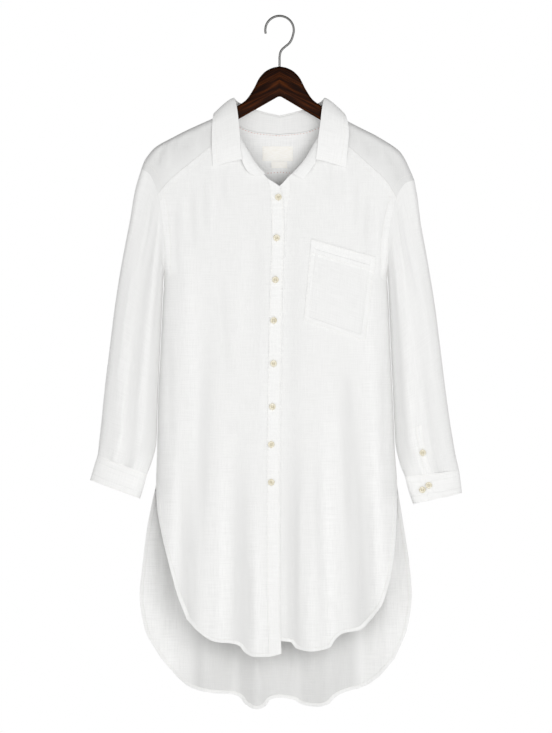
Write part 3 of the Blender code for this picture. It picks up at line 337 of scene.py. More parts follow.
def gridWall(name, grid, way, material, uvs, closed=False, **more):  # a wall on a grid of points
    faces = gridFaces(*grid.shape[:2], closed)
    return wall(name, grid, faces, way, material, uvs, **more)


def facing(face):
    return lambda points: np.tile([0.0, face, 0.0], (len(points), 1))


def gapTo(points, line):  # distance in (x, drop) from points to a polyline
    flat = points.reshape(-1, 1, 2)
    starts, spans = line[:-1], np.diff(line, axis=0)
    shares = np.clip(((flat - starts) * spans).sum(2) / np.maximum((spans**2).sum(1), 1e-9), 0, 1)
    return np.linalg.norm(flat - starts - spans * shares[..., None], axis=2).min(1)


def flatOf(grid):  # millimetres along each of a grid's two ways
    steps = np.linalg.norm(np.diff(grid, axis=1), axis=2)
    across = np.concatenate([np.zeros((len(grid), 1)), steps], axis=1).cumsum(1)
    middle = grid[:, grid.shape[1] // 2]
    return np.stack(np.broadcast_arrays(runLengths(middle)[:, None], across), axis=-1).reshape(-1, 2)


def rimGap(grid):  # distance to the grid's own outline, along the cloth
    flat = flatOf(grid).reshape(*grid.shape[:2], 2)
    u, v = flat[..., 0], flat[..., 1]
    return np.minimum(np.minimum(u - u.min(), u.max() - u), np.minimum(v, v[:, -1:] - v)).ravel()


# Materials
def hexColour(code):
    parts = [int(code[k : k + 2], 16) / 255 for k in (1, 3, 5)]
    return (*[c / 12.92 if c <= 0.04045 else ((c + 0.055) / 1.055) ** 2.4 for c in parts], 1)


def addNode(tree, kind, settings=None, inputs=None):  # a value that is a socket is linked
    node = tree.nodes.new(kind)
    for key, value in (settings or {}).items():
        if key == "stops":
            for k, (place, code) in enumerate(value):
                stop = node.color_ramp.elements[k] if k < 2 else node.color_ramp.elements.new(place)
                stop.position, stop.color = place, hexColour(code)
        else:
            setattr(node, key, value)
    for key, value in (inputs or {}).items():
        if isinstance(value, bpy.types.NodeSocket):
            tree.links.new(value, node.inputs[key])
        else:
            node.inputs[key].default_value = value
    return node


def newMaterial(name, colour, values):
    material = bpy.data.materials.new(name)
    material.use_nodes = True
    shader = material.node_tree.nodes["Principled BSDF"]
    shader.inputs["Base Color"].default_value = hexColour(colour)
    for key, value in values.items():
        shader.inputs[key].default_value = value
    return material, material.node_tree, shader


# Linen: plain-woven, washed, unevenly spun, so threads of uneven thickness show as fine streaks both ways.
# It is slightly sheer, so two layers look whiter than one.
linenCloth = {
    "one": "#eeeeed", "two": "#f3f3f2", "streak": "#e4e4e3", "roughness": 0.88, "sheen": 0.12,
    # trough and ridge: painted shade in the folds' troughs and painted light on their ridges, reached at the
    # full depth either way
    "trough": "#dbdbda", "ridge": "#f6f6f5", "reliefDeep": 7.0,
    "hemWhite": 1.0, "seamWhite": 0.7,
    "thread": 0.9,                 # spacing in mm, drawn about twice as coarse as real to show
    "streakAcross": 1.3, "streakAlong": 34.0, "streakFrom": 0.72, "streakTo": 1.2, "streakDark": 0.55,
    "crumple": (38.0, 68.4, 3.0), "pucker": {1: (7.0, 11.0, 1.0), 2: (20.0, 6.5, 1.0)}, "puckerReach": 16.0,
    "hemWidth": 6.0, "seamWidth": 11.0, "edgeBlur": 0.5,
    "threadHigh": 0.00006, "streakHigh": 0.00016, "crumpleHigh": 0.0012, "puckerHigh": 0.0011,
    "stepHigh": 0.0004,
}


def linenMaterial(name, layers, streaks=1.0):
    look, maths = linenCloth, "ShaderNodeMath"
    values = {"Roughness": look["roughness"], "Sheen Weight": look["sheen"]}
    material, tree, shader = newMaterial(name, look["two"], values)
    uv = addNode(tree, "ShaderNodeUVMap", {"uv_map": "threads"}).outputs[0]

    def unevenness(across, down, detail=2.0):  # a cloudy pattern, across by down millimetres
        place = addNode(tree, "ShaderNodeMapping", None, {"Vector": uv, "Scale": (1 / across, 1 / down, 1)})
        inputs = {"Vector": place.outputs[0], "Scale": 1.0, "Detail": detail}
        return addNode(tree, "ShaderNodeTexNoise", None, inputs).outputs["Fac"]

    def edgeBand(attribute, width):  # the gap to an edge, and 1 within a width of it
        gap = addNode(tree, "ShaderNodeAttribute", {"attribute_name": attribute}).outputs["Fac"]
        near, far = width - look["edgeBlur"], width + look["edgeBlur"]
        inputs = {"Value": gap, "From Min": near, "From Max": far, "To Min": 1.0, "To Max": 0.0}
        return gap, addNode(tree, "ShaderNodeMapRange", None, inputs).outputs[0]

    warp = unevenness(look["streakAcross"], look["streakAlong"])
    weft = unevenness(look["streakAlong"], look["streakAcross"])
    streak = addNode(tree, maths, {"operation": "ADD"}, {0: warp, 1: weft}).outputs[0]  # 0.6 to 1.4, about 1
    hem = edgeBand("hemGap", look["hemWidth"])[1]
    seamGap, seam = edgeBand("seamGap", look["seamWidth"])
    cloth = hexColour(look["two"])
    if layers == 1:  # painted shade greyer in a fold's trough and painted light whiter on its ridge, and white where a hem or seam doubles it
        paintedShading = addNode(tree, "ShaderNodeAttribute", {"attribute_name": "paintedShading"}).outputs["Fac"]
        span = {"From Min": -look["reliefDeep"], "From Max": look["reliefDeep"]}
        high = addNode(tree, "ShaderNodeMapRange", None, {"Value": paintedShading, **span}).outputs[0]
        stops = [(0.0, look["trough"]), (1.0, look["ridge"]), (0.5, look["one"])]
        single = addNode(tree, "ShaderNodeValToRGB", {"stops": stops}, {"Fac": high}).outputs[0]
        edges = [
            addNode(tree, maths, {"operation": "MULTIPLY"}, {0: edge, 1: look[share]}).outputs[0]
            for edge, share in ((hem, "hemWhite"), (seam, "seamWhite"))
        ]
        white = addNode(tree, maths, {"operation": "MAXIMUM"}, {0: edges[0], 1: edges[1]}).outputs[0]
        mixed = addNode(tree, "ShaderNodeMix", {"data_type": "RGBA"}, {0: white, 6: single, 7: cloth})
        cloth = mixed.outputs[2]
    thin = addNode(tree, "ShaderNodeMapRange", None, {
        "Value": streak, "From Min": look["streakFrom"], "From Max": look["streakTo"],
        "To Min": look["streakDark"] * streaks, "To Max": 0.0,
    }).outputs[0]
    inputs = {0: thin, 6: cloth, 7: hexColour(look["streak"])}
    colour = addNode(tree, "ShaderNodeMix", {"data_type": "RGBA"}, inputs)
    tree.links.new(colour.outputs[2], shader.inputs["Base Color"])

    split, waves = addNode(tree, "ShaderNodeSeparateXYZ", None, {0: uv}), []
    for way in (0, 1):
        inputs = {0: split.outputs[way], 1: np.pi / look["thread"]}
        turn = addNode(tree, maths, {"operation": "MULTIPLY"}, inputs).outputs[0]
        waves.append(addNode(tree, maths, {"operation": "SINE"}, {0: turn}).outputs[0])
    weave = addNode(tree, maths, {"operation": "MULTIPLY"}, {0: waves[0], 1: waves[1]}).outputs[0]
    near = addNode(tree, "ShaderNodeMapRange", None, {
        "Value": seamGap, "From Min": 0.0, "From Max": look["puckerReach"], "To Min": 1.0, "To Max": 0.0,
    }).outputs[0]
    drawnIn = unevenness(*look["pucker"][layers])
    pucker = addNode(tree, maths, {"operation": "MULTIPLY"}, {0: drawnIn, 1: near}).outputs[0]
    doubled = addNode(tree, maths, {"operation": "MAXIMUM"}, {0: hem, 1: seam}).outputs[0]
    heights = (
        (weave, "threadHigh"), (streak, "streakHigh"), (unevenness(*look["crumple"]), "crumpleHigh"),
        (pucker, "puckerHigh"), (doubled, "stepHigh"),
    )
    total = 0.0
    for height, scale in heights:
        inputs = {0: height, 1: look[scale], 2: total}
        total = addNode(tree, maths, {"operation": "MULTIPLY_ADD"}, inputs).outputs[0]
    bump = addNode(tree, "ShaderNodeBump", None, {"Strength": 1.0, "Distance": 1.0, "Height": total})
    tree.links.new(bump.outputs[0], shader.inputs["Normal"])
    return material


linenOne = linenMaterial("plainWovenLinen", 1)
linenTwo = linenMaterial("doubledLinen", 2, 0.7)  # whiter, with fainter streaks


def finishMaterial(name, colour, low, across, along, high, values, deep=0.0001):
    # A streaked finish: colours between low and high over a noise that is across by along millimetres
    material, tree, shader = newMaterial(name, colour, values)
    place = addNode(tree, "ShaderNodeTexCoord").outputs["Object"]
    scale = (1 / (across * mm), 1 / (across * mm), 1 / (along * mm))
    turned = addNode(tree, "ShaderNodeMapping", None, {"Vector": place, "Scale": scale})
    inputs = {"Vector": turned.outputs[0], "Scale": 1.0, "Detail": 4.0}
    cloud = addNode(tree, "ShaderNodeTexNoise", None, inputs).outputs["Fac"]
    ramp = addNode(tree, "ShaderNodeValToRGB", {"stops": [(0.3, low), (0.7, high)]}, {"Fac": cloud})
    tree.links.new(ramp.outputs[0], shader.inputs["Base Color"])
    bump = addNode(tree, "ShaderNodeBump", None, {"Strength": 1.0, "Distance": deep, "Height": cloud})
    tree.links.new(bump.outputs[0], shader.inputs["Normal"])
    return material


# Spun sewing thread, matt: runs of stitches show as fine dashes, the pink ones as the only warm colour
whiteThread = finishMaterial("whiteThread", "#f4f2ee", "#e6e3dd", 0.4, 0.4, "#faf9f6", {"Roughness": 0.7})
pinkThread = finishMaterial("pinkThread", "#d99a8e", "#c98478", 0.4, 0.4, "#e2aa9e", {"Roughness": 0.7})
creamThread = finishMaterial("creamThread", "#e4dbc4", "#d2c6a8", 0.4, 0.4, "#ece5d2", {"Roughness": 0.7})
# Cut shell, polished: a faint cloudy grain under a satin shine
shellButton = finishMaterial(
    "shellDisc", "#d9d2bb", "#c6bc9d", 2.6, 5.0, "#e8e3d2",
    {"Roughness": 0.32, "Coat Weight": 0.25, "Coat Roughness": 0.2}, 0.00003,
)
# Close-woven tape: smoother and creamier than the linen, with a faint rib across
labelTape = finishMaterial(
    "wovenTape", "#faf8f2", "#f5f2ea", 6.0, 0.5, "#fdfcf9", {"Roughness": 0.75}, 0.00012,
)
# Drawn steel wire: bright lines along it from fine lengthwise scratches
drawnSteel = finishMaterial(
    "drawnSteelWire", "#6b6b6a", "#5b5b5a", 0.5, 14.0, "#7c7c7b",
    {"Roughness": 0.28, "Metallic": 1.0}, 0.00002,
)
print("materials made")


# Edges that the pieces share
necklineNames = "seamOut seamDrop rollOut rollDrop rollY edgeOut edgeDrop edgeY turn"
collarForm = {  # sections from the collar's front end over the shoulder to the back neck
    rightSide: table(
        necklineNames,
        (24, 268, 42, 271, -24, 42, 271, -24, 1), (35, 257, 55, 262, -25, 55, 262, -25, 1),
        (45, 244, 63, 246, -26, 113, 255, -19, 1), (53, 230, 66, 229, -26, 114, 236, -19, 1),
        (63, 212, 67, 207, -24, 115, 217, -18, 1), (73, 197, 69, 185, -20, 115, 199, -16, 0.8),
        (84, 175, 72, 159, -13, 114, 180, -13, 0.5), (90, 158, 77, 141, 0, 112, 164, 0, 0.2),
        (82, 172, 71, 147, 12, 100, 180, 17, 0), (66, 186, 58, 153, 17, 70, 200, 25, 0),
        (40, 195, 37, 161, 19, 42, 208, 27, 0), (0, 199, 0, 170, 19, 0, 213, 28, 0),
    ),
    leftSide: table(
        necklineNames,
        (22, 268, 40, 276, -24, 40, 276, -24, 1), (35, 254, 52, 262, -25, 52, 262, -25, 1),
        (46, 240, 61, 246, -26, 113, 257, -19, 1), (54, 226, 64, 229, -26, 114, 238, -19, 1),
        (63, 210, 66, 207, -24, 116, 218, -18, 1), (73, 197, 69, 185, -20, 118, 199, -16, 0.8),
        (84, 176, 72, 159, -13, 116, 180, -13, 0.5), (90, 160, 76, 141, 0, 109, 163, 0, 0.2),
        (82, 173, 70, 147, 12, 99, 180, 17, 0), (66, 186, 58, 153, 17, 70, 200, 25, 0),
        (40, 195, 37, 161, 19, 42, 208, 27, 0), (0, 199, 0, 170, 19, 0, 213, 28, 0),
    ),
    "leafRow": 2.0, "yokeRow": 5.0, "shoulderRow": 7.0, "backRow": 11.0, "neckOut": 90.0,
}


def collarSections(side, rows):
    columns = collarForm[side]
    index = np.arange(float(len(columns["turn"])))
    return {name: smoothCurve(index, columns[name], rows) for name in columns}


def signed(side, points):
    return points * np.array([side, 1])


def edgeOf(edges, side, shares):  # points at shares of the length of one side's edge
    return signed(side, along(edges[side], "out drop", shares))


def neckline(side, rows):
    found = collarSections(side, rows)
    return signed(side, np.stack([found["seamOut"], found["seamDrop"]], axis=1))


def armholeRows(side, upperCount, lowerCount):  # shoulder to yoke seam, and yoke seam to underarm
    line = bodyForm["armhole"][side]
    fine = along(line, "out drop", evenly(fineSteps))
    split = np.argmin(abs(fine[:, 1] - line["drop"][bodyForm["yokePoint"]])) / (fineSteps - 1)
    upper = along(line, "out drop", split * evenly(upperCount))
    lower = along(line, "out drop", split + (1 - split) * evenly(lowerCount))
    return signed(side, upper), signed(side, lower)


def sideRow(side, count):
    drops = np.linspace(bodyForm["armpit"], bodyForm["slit"], count)
    where = bodyForm["side"][side]
    return signed(side, np.stack([smoothCurve(where["drop"], where["out"], drops), drops], axis=1))


def shares(points):
    lengths = runLengths(points)
    return lengths / lengths[-1]


# The two fronts, the right one over the left
frontPanels = {
    "band": 21.0, "underlap": 18.0, "overlapLayers": 2 * (1.2 + layerGap) + layerGap,
    "tuckFrom": 6.0, "tuckFade": 55.0,     # the left front comes forward again beside the band
    "bandSettles": 12,     # 1 over the share of the length in which the band takes its own line
    "bandSeam": 4.0,       # the band puckers all over as cloth does this near a seam
    "leadSteps": 60,
    "seamSteps": 40, "neckSteps": 16, "nearBand": 4, "bandSteps": 6,
    "armSteps": 24, "sideSteps": 64, "slitSteps": 40,
    "centre": table(
        "drop x", (289, 0), (311, 6), (379, 8), (447, 5), (549, 3), (651, 1), (787, 0), (991, 0),
        (1079, 3),
    ),
    "shown": table("drop more", (289, 14), (311, 7), (379, 3), (500, 3), (650, 2), (1079, 0.5)),
    "seam": {
        rightSide: table("out drop", (203, 316), (184, 291), (152, 263), (116, 234), (92, 214), (73, 197)),
        leftSide: table("out drop", (194, 322), (171, 284), (154, 268), (116, 234), (92, 214), (73, 197)),
    },
    "top": {
        rightSide: table("x drop", (-35, 257), (-20, 275), (-9, 282), (-0.5, 288)),
        leftSide: table("x drop", (35, 254), (15, 272), (-2, 288), (-18, 290)),
    },
    "slit": {
        rightSide: table(
            "out drop", (210, 795), (208, 832), (201, 872), (193, 906), (184, 940), (172, 983),
            (157, 1022),
        ),
        leftSide: table(
            "out drop", (200, 795), (199, 840), (197, 880), (192, 925), (185, 960), (174, 995),
            (156, 1021),
        ),
    },
    "hem": {
        rightSide: table(
            "out drop",
            (157, 1022), (137, 1043), (107, 1060), (85, 1062), (68, 1067),
            (59, 1078), (43, 1085), (20, 1085), (-3, 1080),
        ),
        leftSide: table(
            "out drop",
            (156, 1021), (136, 1040), (106, 1046), (94, 1056), (85, 1069),
            (54, 1076), (28, 1071), (19, 1061), (4, 1059), (-18, 1058),
        ),
    },
}


def centreX(drop):
    return smoothCurve(frontPanels["centre"]["drop"], frontPanels["centre"]["x"], drop)


def tucked(x, drop):  # how far the left front lies behind the right one
    away = x - centreX(drop) - frontPanels["tuckFrom"]
    return frontPanels["overlapLayers"] * (1 - ease(away / frontPanels["tuckFade"]))


def frontPoints(x, drop):
    return bodyPoints(frontFace, x, drop)


def leftFrontPoints(x, drop):
    return bodyPoints(frontFace, x, drop, tucked(x, drop))


def frontGrid(side):
    cut = frontPanels
    lower = armholeRows(side, 2, cut["armSteps"])[1]
    slit = edgeOf(cut["slit"], side, evenly(cut["slitSteps"]))
    start = np.vstack([lower, sideRow(side, cut["sideSteps"])[1:], slit[1:]])
    seam = edgeOf(cut["seam"], side, evenly(cut["seamSteps"]))
    neck = neckline(side, np.linspace(collarForm["yokeRow"], 1, cut["neckSteps"]))[1:]
    rows = cut["top"][side]
    lead = along(rows, "x drop", evenly(cut["leadSteps"]))
    bandStart = np.argmin(abs(lead[:, 0] - rows["x"][1]))
    first = lead[np.linspace(0, bandStart, cut["nearBand"]).astype(int)][1:-1]
    bandTop = lead[np.linspace(bandStart, cut["leadSteps"] - 1, cut["bandSteps"] + 1).round().astype(int)]
    top = np.vstack([seam, neck, first, bandTop])
    count = len(top) - len(bandTop)
    hem = along(cut["hem"][side], "out drop", evenly(fineSteps))
    order = np.argsort(hem[:, 0])
    if side == rightSide:
        offsets = np.linspace(-cut["band"], 0, cut["bandSteps"] + 1)
    else:
        offsets = np.linspace(cut["shown"]["more"][-1], -cut["underlap"], cut["bandSteps"] + 1)
    bandX = side * (cut["centre"]["x"][-1] + offsets)
    hemX = np.concatenate([hem[0, 0] + (bandX[0] - hem[0, 0]) * evenly(count + 1)[:-1], bandX])
    bottom = signed(side, np.stack([hemX, np.interp(hemX, hem[order, 0], hem[order, 1])], axis=1))
    vs = shares(start)
    drops = top[-1, 1] + (bottom[-1, 1] - top[-1, 1]) * vs
    end = np.stack([centreX(drops) + offsets[-1], drops], axis=1)
    end[0], end[-1] = top[-1], bottom[-1]
    us = (hemX - hemX[0]) / (hemX[-1] - hemX[0])
    grid = patch(top, bottom, start, end, us, vs)
    weight = ease(vs * cut["bandSettles"])[:, None]
    wide = np.tile(offsets, (len(vs), 1))
    if side == leftSide:
        shown = smoothCurve(cut["shown"]["drop"], cut["shown"]["more"], grid[:, count, 1])
        wide = shown[:, None] + (offsets[-1] - shown[:, None]) * evenly(cut["bandSteps"] + 1)
    target = centreX(grid[:, count:, 1]) + wide
    grid[:, count:, 0] = grid[:, count:, 0] * (1 - weight) + target * weight
    return grid, np.vstack([slit, bottom[1:]]), lower


def makeFront(side):
    grid, edge, armhole = frontGrid(side)
    place = frontPoints if side == rightSide else leftFrontPoints
    points = place(grid[..., 0], grid[..., 1])
    name = sideNames[side]
    flat = grid.reshape(-1, 2)
    # the folds' heights, kept for the painted shade and light on the cloth
    paintedShading = bodyRelief(frontFace, flat[:, 0], flat[:, 1])
    values = {"hemGap": gapTo(flat, edge), "seamGap": gapTo(flat, armhole), "paintedShading": paintedShading}
    piece = gridWall("front" + name, points, facing(frontFace), linenOne, flat, values=values)
    steps = frontPanels["bandSteps"] + 1
    band = points[:, -steps:]
    bandFlat = grid[:, -steps:].reshape(-1, 2)
    placket = gridWall(
        "placket" + name, band, facing(frontFace), linenTwo, bandFlat,
        lift=bodyForm["cloth"] + layerGap,
        values={"hemGap": gapTo(bandFlat, edge), "seamGap": frontPanels["bandSeam"]},
    )
    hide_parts("front_" + name.lower())
    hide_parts("placket_" + name.lower())


for side in bothSides:
    makeFront(side)
print("fronts made")


# The back, which hangs lower, with its side slits
backPanel = {
    "seamSteps": 80, "armSteps": 24, "sideSteps": 64, "slitSteps": 60,
    "reliefShare": 0.4,    # its painted fold shade is weaker, as its folds are seen in the soft light behind the fronts
    # Painted light on its inside beside the slits, for light that comes through the sheer cloth there, and
    # painted shade low behind the fronts
    "sideLight": 7.0, "lightFrom": 110.0, "lightWide": 80.0, "lightBelow": 60.0,
    "hemShade": 9.0, "shadeFrom": 980.0, "shadeHigh": 90.0,
    "seam": {
        rightSide: table("out drop", (203, 316), (150, 292), (90, 274), (0, 265)),
        leftSide: table("out drop", (194, 322), (150, 293), (90, 274), (0, 265)),
    },
    "slit": {
        rightSide: table(
            "out drop", (210, 795), (217, 825), (226, 870), (233, 925), (239, 985), (231, 1040),
            (203, 1092),
        ),
        leftSide: table(
            "out drop", (200, 795), (207, 838), (214, 880), (221, 925), (226, 985), (219, 1038),
            (196, 1093),
        ),
    },
    "hem": table(
        "x drop",
        (-203, 1092), (-169, 1130), (-152, 1142), (-110, 1152), (-85, 1154), (-68, 1159), (-58, 1171),
        (-40, 1179), (-24, 1174), (-17, 1164), (0, 1160), (24, 1164), (39, 1172), (63, 1175),
        (84, 1170), (94, 1159), (112, 1150), (142, 1142), (168, 1125), (196, 1093),
    ),
}


def backPoints(x, drop):
    return bodyPoints(backFace, x, drop)


def backSeam(count):  # from the right armhole over to the left one
    right, left = [edgeOf(backPanel["seam"], s, evenly(count)) for s in bothSides]
    return np.vstack([right, left[-2::-1]])


def backGrid():
    cut, edges = backPanel, {}
    for side in bothSides:
        slit = edgeOf(cut["slit"], side, evenly(cut["slitSteps"]))
        lower = armholeRows(side, 2, cut["armSteps"])[1]
        edges[side] = np.vstack([lower, sideRow(side, cut["sideSteps"])[1:], slit[1:]])
    top = backSeam(cut["seamSteps"])
    us = (top[:, 0] - top[0, 0]) / (top[-1, 0] - top[0, 0])
    hem = cut["hem"]
    hemX = hem["x"][0] + (hem["x"][-1] - hem["x"][0]) * us
    bottom = np.stack([hemX, smoothCurve(hem["x"], hem["drop"], hemX)], axis=1)
    start, end = edges[rightSide], edges[leftSide]
    first = cut["armSteps"] + cut["sideSteps"] - 2
    around = np.vstack([start[first:], bottom[1:-1], end[first:][::-1]])
    arms = [edges[s][: cut["armSteps"]] for s in bothSides]
    return patch(top, bottom, start, end, us, shares(start)), around, arms


def makeBack():
    cut = backPanel
    grid, around, arms = backGrid()
    flat = grid.reshape(-1, 2)
    seams = np.minimum(gapTo(flat, arms[0]), gapTo(flat, arms[1]))
    paintedShading = bodyRelief(backFace, *flat.T) * cut["reliefShare"]
    x, drop = flat.T
    # painted light on the inside face beside the slits and painted shade low behind the fronts; the outer
    # face keeps only the fold shading
    outward = ease((abs(x) - cut["lightFrom"]) / cut["lightWide"])
    aside = outward * ease((drop - bodyForm["slit"]) / cut["lightBelow"])
    low = ease((drop - cut["shadeFrom"]) / cut["shadeHigh"]) * (1 - aside)
    inside = paintedShading + cut["sideLight"] * aside - cut["hemShade"] * low
    paintedShading = np.concatenate([paintedShading, inside])
    values = {"hemGap": gapTo(flat, around), "seamGap": seams, "paintedShading": paintedShading}
    points = backPoints(grid[..., 0], grid[..., 1])
    piece = gridWall("backPanel", points, facing(backFace), linenOne, flat, values=values)
    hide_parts("back")


makeBack()
print("back made")


# The yoke: one piece over both shoulders
yokePanel = {
    "ridgeSteps": 44, "neckSteps": 30, "frontRows": 30, "backRows": 34, "ridgeShare": 0.49, "edgeSteps": 60,
    "ridgeDeep": 0.1,      # what stands less than this from the middle plane is on the ridge
    "ridgeShade": 8.0, "shadeReach": 75.0,  # painted shade: the thin cloth is painted greyer near the shoulder's ridge, over the hollow under it
    "rise": 0.2,           # its way out is mostly level, and this much up
    "doubled": 7.0, "turnOver": 24.0,       # and painted lighter behind the neck: partly as it is cut double there, partly painted light on the shaded inside of the neck
}


def ridgeRow(side, count):
    line = shoulderLine[side]
    shoulder = bodyForm["shoulder"][side]
    drop = smoothCurve(shoulder["out"], shoulder["drop"], collarForm["neckOut"])
    fine = np.vstack([[collarForm["neckOut"], drop], line[line[:, 0] > collarForm["neckOut"]]])[::-1]
    return signed(side, along({"out": fine[:, 0], "drop": fine[:, 1]}, "out drop", evenly(count)))


def weld(grids):  # one mesh from several grids that share edges, each with its own way out
    points, faces, first = [], [], 0
    for grid, way in grids:
        found, quads = grid.reshape(-1, 3), gridFaces(*grid.shape[:2])
        if (vertexNormals(found, quads) * way(found)).sum() < 0:
            quads = quads[:, ::-1]
        points.append(found)
        faces.append(quads + first)
        first += len(found)
    points = np.concatenate(points)
    found = np.unique(np.round(points, 2), axis=0, return_index=True, return_inverse=True)
    return points[found[1]], found[2].ravel()[np.concatenate(faces)]


def makeYoke():
    cut, grids = yokePanel, []
    for side in bothSides:
        upper = armholeRows(side, cut["frontRows"], 2)[0]
        seam = edgeOf(frontPanels["seam"], side, evenly(cut["ridgeSteps"]))
        ridge = ridgeRow(side, cut["ridgeSteps"])
        neck = neckline(side, np.linspace(collarForm["shoulderRow"], collarForm["yokeRow"], cut["frontRows"]))
        strip = patch(ridge, seam, upper, neck, evenly(len(ridge)), evenly(len(upper)))
        shaped = bodyPoints(frontFace, strip[..., 0], strip[..., 1])
        shaped[0, :, 1] = 0
        grids.append((shaped, facing(frontFace)))
    halves = []
    for side in bothSides:
        upper = armholeRows(side, cut["backRows"], 2)[0]
        rows = np.linspace(collarForm["shoulderRow"], collarForm["backRow"], cut["neckSteps"])
        top = np.vstack([ridgeRow(side, cut["ridgeSteps"]), neckline(side, rows)[1:]])
        lowShares = np.concatenate([
            np.linspace(0, cut["ridgeShare"], cut["ridgeSteps"]),
            np.linspace(cut["ridgeShare"], 1, cut["neckSteps"])[1:],
        ])
        low = edgeOf(backPanel["seam"], side, lowShares)
        centre = top[-1] + (low[-1] - top[-1]) * evenly(cut["backRows"])[:, None]
        half = patch(top, low, upper, centre, evenly(len(top)), evenly(cut["backRows"]))
        shaped = bodyPoints(backFace, half[..., 0], half[..., 1])
        shaped[0, : cut["ridgeSteps"], 1] = 0
        halves.append(shaped)
    grids.append((np.concatenate([halves[0], halves[1][:, -2::-1]], axis=1), facing(backFace)))
    points, faces = weld(grids)
    flat = np.stack([points[:, 0], -points[:, 2]], axis=1)
    ends = []
    for side in bothSides:
        seam, behind = [edgeOf(p["seam"], side, evenly(cut["edgeSteps"])) for p in (frontPanels, backPanel)]
        ends.append(np.where(points[:, 1] < cut["ridgeDeep"], gapTo(flat, seam), gapTo(flat, behind)))
    front = points[:, 1] < 0
    high = np.where(front, bodyRelief(frontFace, *flat.T), bodyRelief(backFace, *flat.T))
    # painted shade near the shoulder's ridge on the front, and painted light behind the neck
    shade = cut["ridgeShade"] * (1 - ease(belowShoulder(*flat.T) / cut["shadeReach"]))
    behind = ease(points[:, 1] / cut["turnOver"] + 0.5)
    shade = shade * (1 - behind) - cut["doubled"] * behind
    values = {"hemGap": noEdge, "seamGap": np.minimum(*ends), "paintedShading": high - shade}

    def up(found):
        level = np.zeros(len(found))
        return np.stack([level, np.sign(found[:, 1]), level + cut["rise"]], axis=1)

    piece = wall("yokePanel", points, faces, up, linenOne, flat, values=values)
    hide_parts("yoke")


makeYoke()
print("yoke made")


# Sleeves and cuffs: the outer and the inner line in sections from the armhole down, and half the depth
sleeveNames = "outerOut outerDrop innerOut innerDrop depth"
sleeveForm = {
    "roundness": 0.85,     # power of the sine that rounds a section: a little boxier than an ellipse
    "capSteps": 10,        # steps over each face: five to the yoke's seam, and five on to the underarm
    "pastSeam": 11.5,      # puts the seam's white allowance on the body and leaves the sleeve its puckers
    "pleatEnd": 1.012, "pleatFade": 0.03,
    # painted shade along the front where the sleeve turns in beside the body
    "innerShade": {"dark": 5.0, "first": 0.7, "rise": 0.14, "turn": 0.15, "ends": 0.2},
    rightSide: table(
        sleeveNames,
        (235, 258, 196, 438, 15), (246, 296, 197.5, 447, 17),
        (254, 344, 198.3, 466, 19), (263, 390, 199.6, 494, 20),
        (272, 440, 201.1, 526, 21), (281, 500, 203, 566, 22),
        (289, 565, 205.3, 615, 22), (297, 630, 207.4, 668, 22),
        (303, 690, 209.2, 722, 21), (307, 725, 217, 756, 19), (309, 744, 225, 777, 16),
    ),
    leftSide: table(
        sleeveNames,
        (229, 277, 183, 438, 15), (235, 310, 184.6, 449, 17),
        (240, 350, 185.4, 467, 19), (248, 394, 186.5, 494, 20),
        (256, 440, 187.9, 526, 21), (264, 490, 189.4, 563, 22),
        (273, 560, 191.8, 615, 22), (281, 625, 194.2, 668, 22),
        (290, 690, 196.8, 722, 21), (299, 743, 204, 757, 19), (305, 770, 213, 781, 16),
    ),
    # Folds as shares of the width, 0 at the outer line, and of the length
    "folds": {
        rightSide: table(
            foldNames, (0.45, 0.06, 0.55, 0.55, 0.13, -4), (0.72, 0.1, 0.75, 0.7, 0.12, 3),
            (0.3, 0.4, 0.35, 1, 0.12, 3),
        ),
        leftSide: table(
            foldNames, (0.8, 0.04, 0.9, 0.5, 0.12, -4), (0.5, 0.05, 0.6, 0.6, 0.13, 3),
            (0.35, 0.4, 0.3, 1, 0.12, -3),
        ),
    },
    "creases": {
        rightSide: table(
            foldNames,
            (0.3, 0.04, 0.36, 0.4, 0.05, -1.6), (0.6, 0.02, 0.66, 0.36, 0.05, 1.5),
            (0.82, 0.1, 0.84, 0.6, 0.05, -1.7),
            (0.2, 0.3, 0.24, 0.8, 0.05, 1.3), (0.5, 0.45, 0.46, 0.98, 0.05, -1.5),
            (0.66, 0.5, 0.62, 0.99, 0.05, 1.5),
            (0.38, 0.62, 0.36, 1.0, 0.04, 1.2), (0.78, 0.7, 0.74, 1.0, 0.045, -1.3),
        ),
        leftSide: table(
            foldNames,
            (0.28, 0.05, 0.3, 0.5, 0.05, -1.5), (0.44, 0.04, 0.52, 0.42, 0.05, 1.4),
            (0.68, 0.06, 0.78, 0.5, 0.05, 1.5),
            (0.16, 0.25, 0.2, 0.75, 0.05, 1.3), (0.58, 0.4, 0.56, 0.98, 0.05, -1.6),
            (0.74, 0.5, 0.68, 0.99, 0.05, 1.4),
            (0.42, 0.6, 0.4, 1.0, 0.045, 1.3), (0.84, 0.66, 0.8, 1.0, 0.045, -1.4),
        ),
    },
    # Small pleats sewn into the cuff: places round the sleeve, half width, rise
    "pleats": {
        rightSide: (
            (0.3, 0.022, 1.5), (0.4, 0.02, -1.4), (0.5, 0.024, 1.7), (0.6, 0.02, -1.3), (0.71, 0.024, 1.4),
        ),
        leftSide: (
            (0.25, 0.022, 1.4), (0.37, 0.024, -1.5), (0.47, 0.02, 1.4), (0.58, 0.022, -1.3),
            (0.68, 0.024, 1.6),
        ),
    },
    "pleatShare": 0.2, "fade": 0.62, "ring": 120, "rows": 150,
}
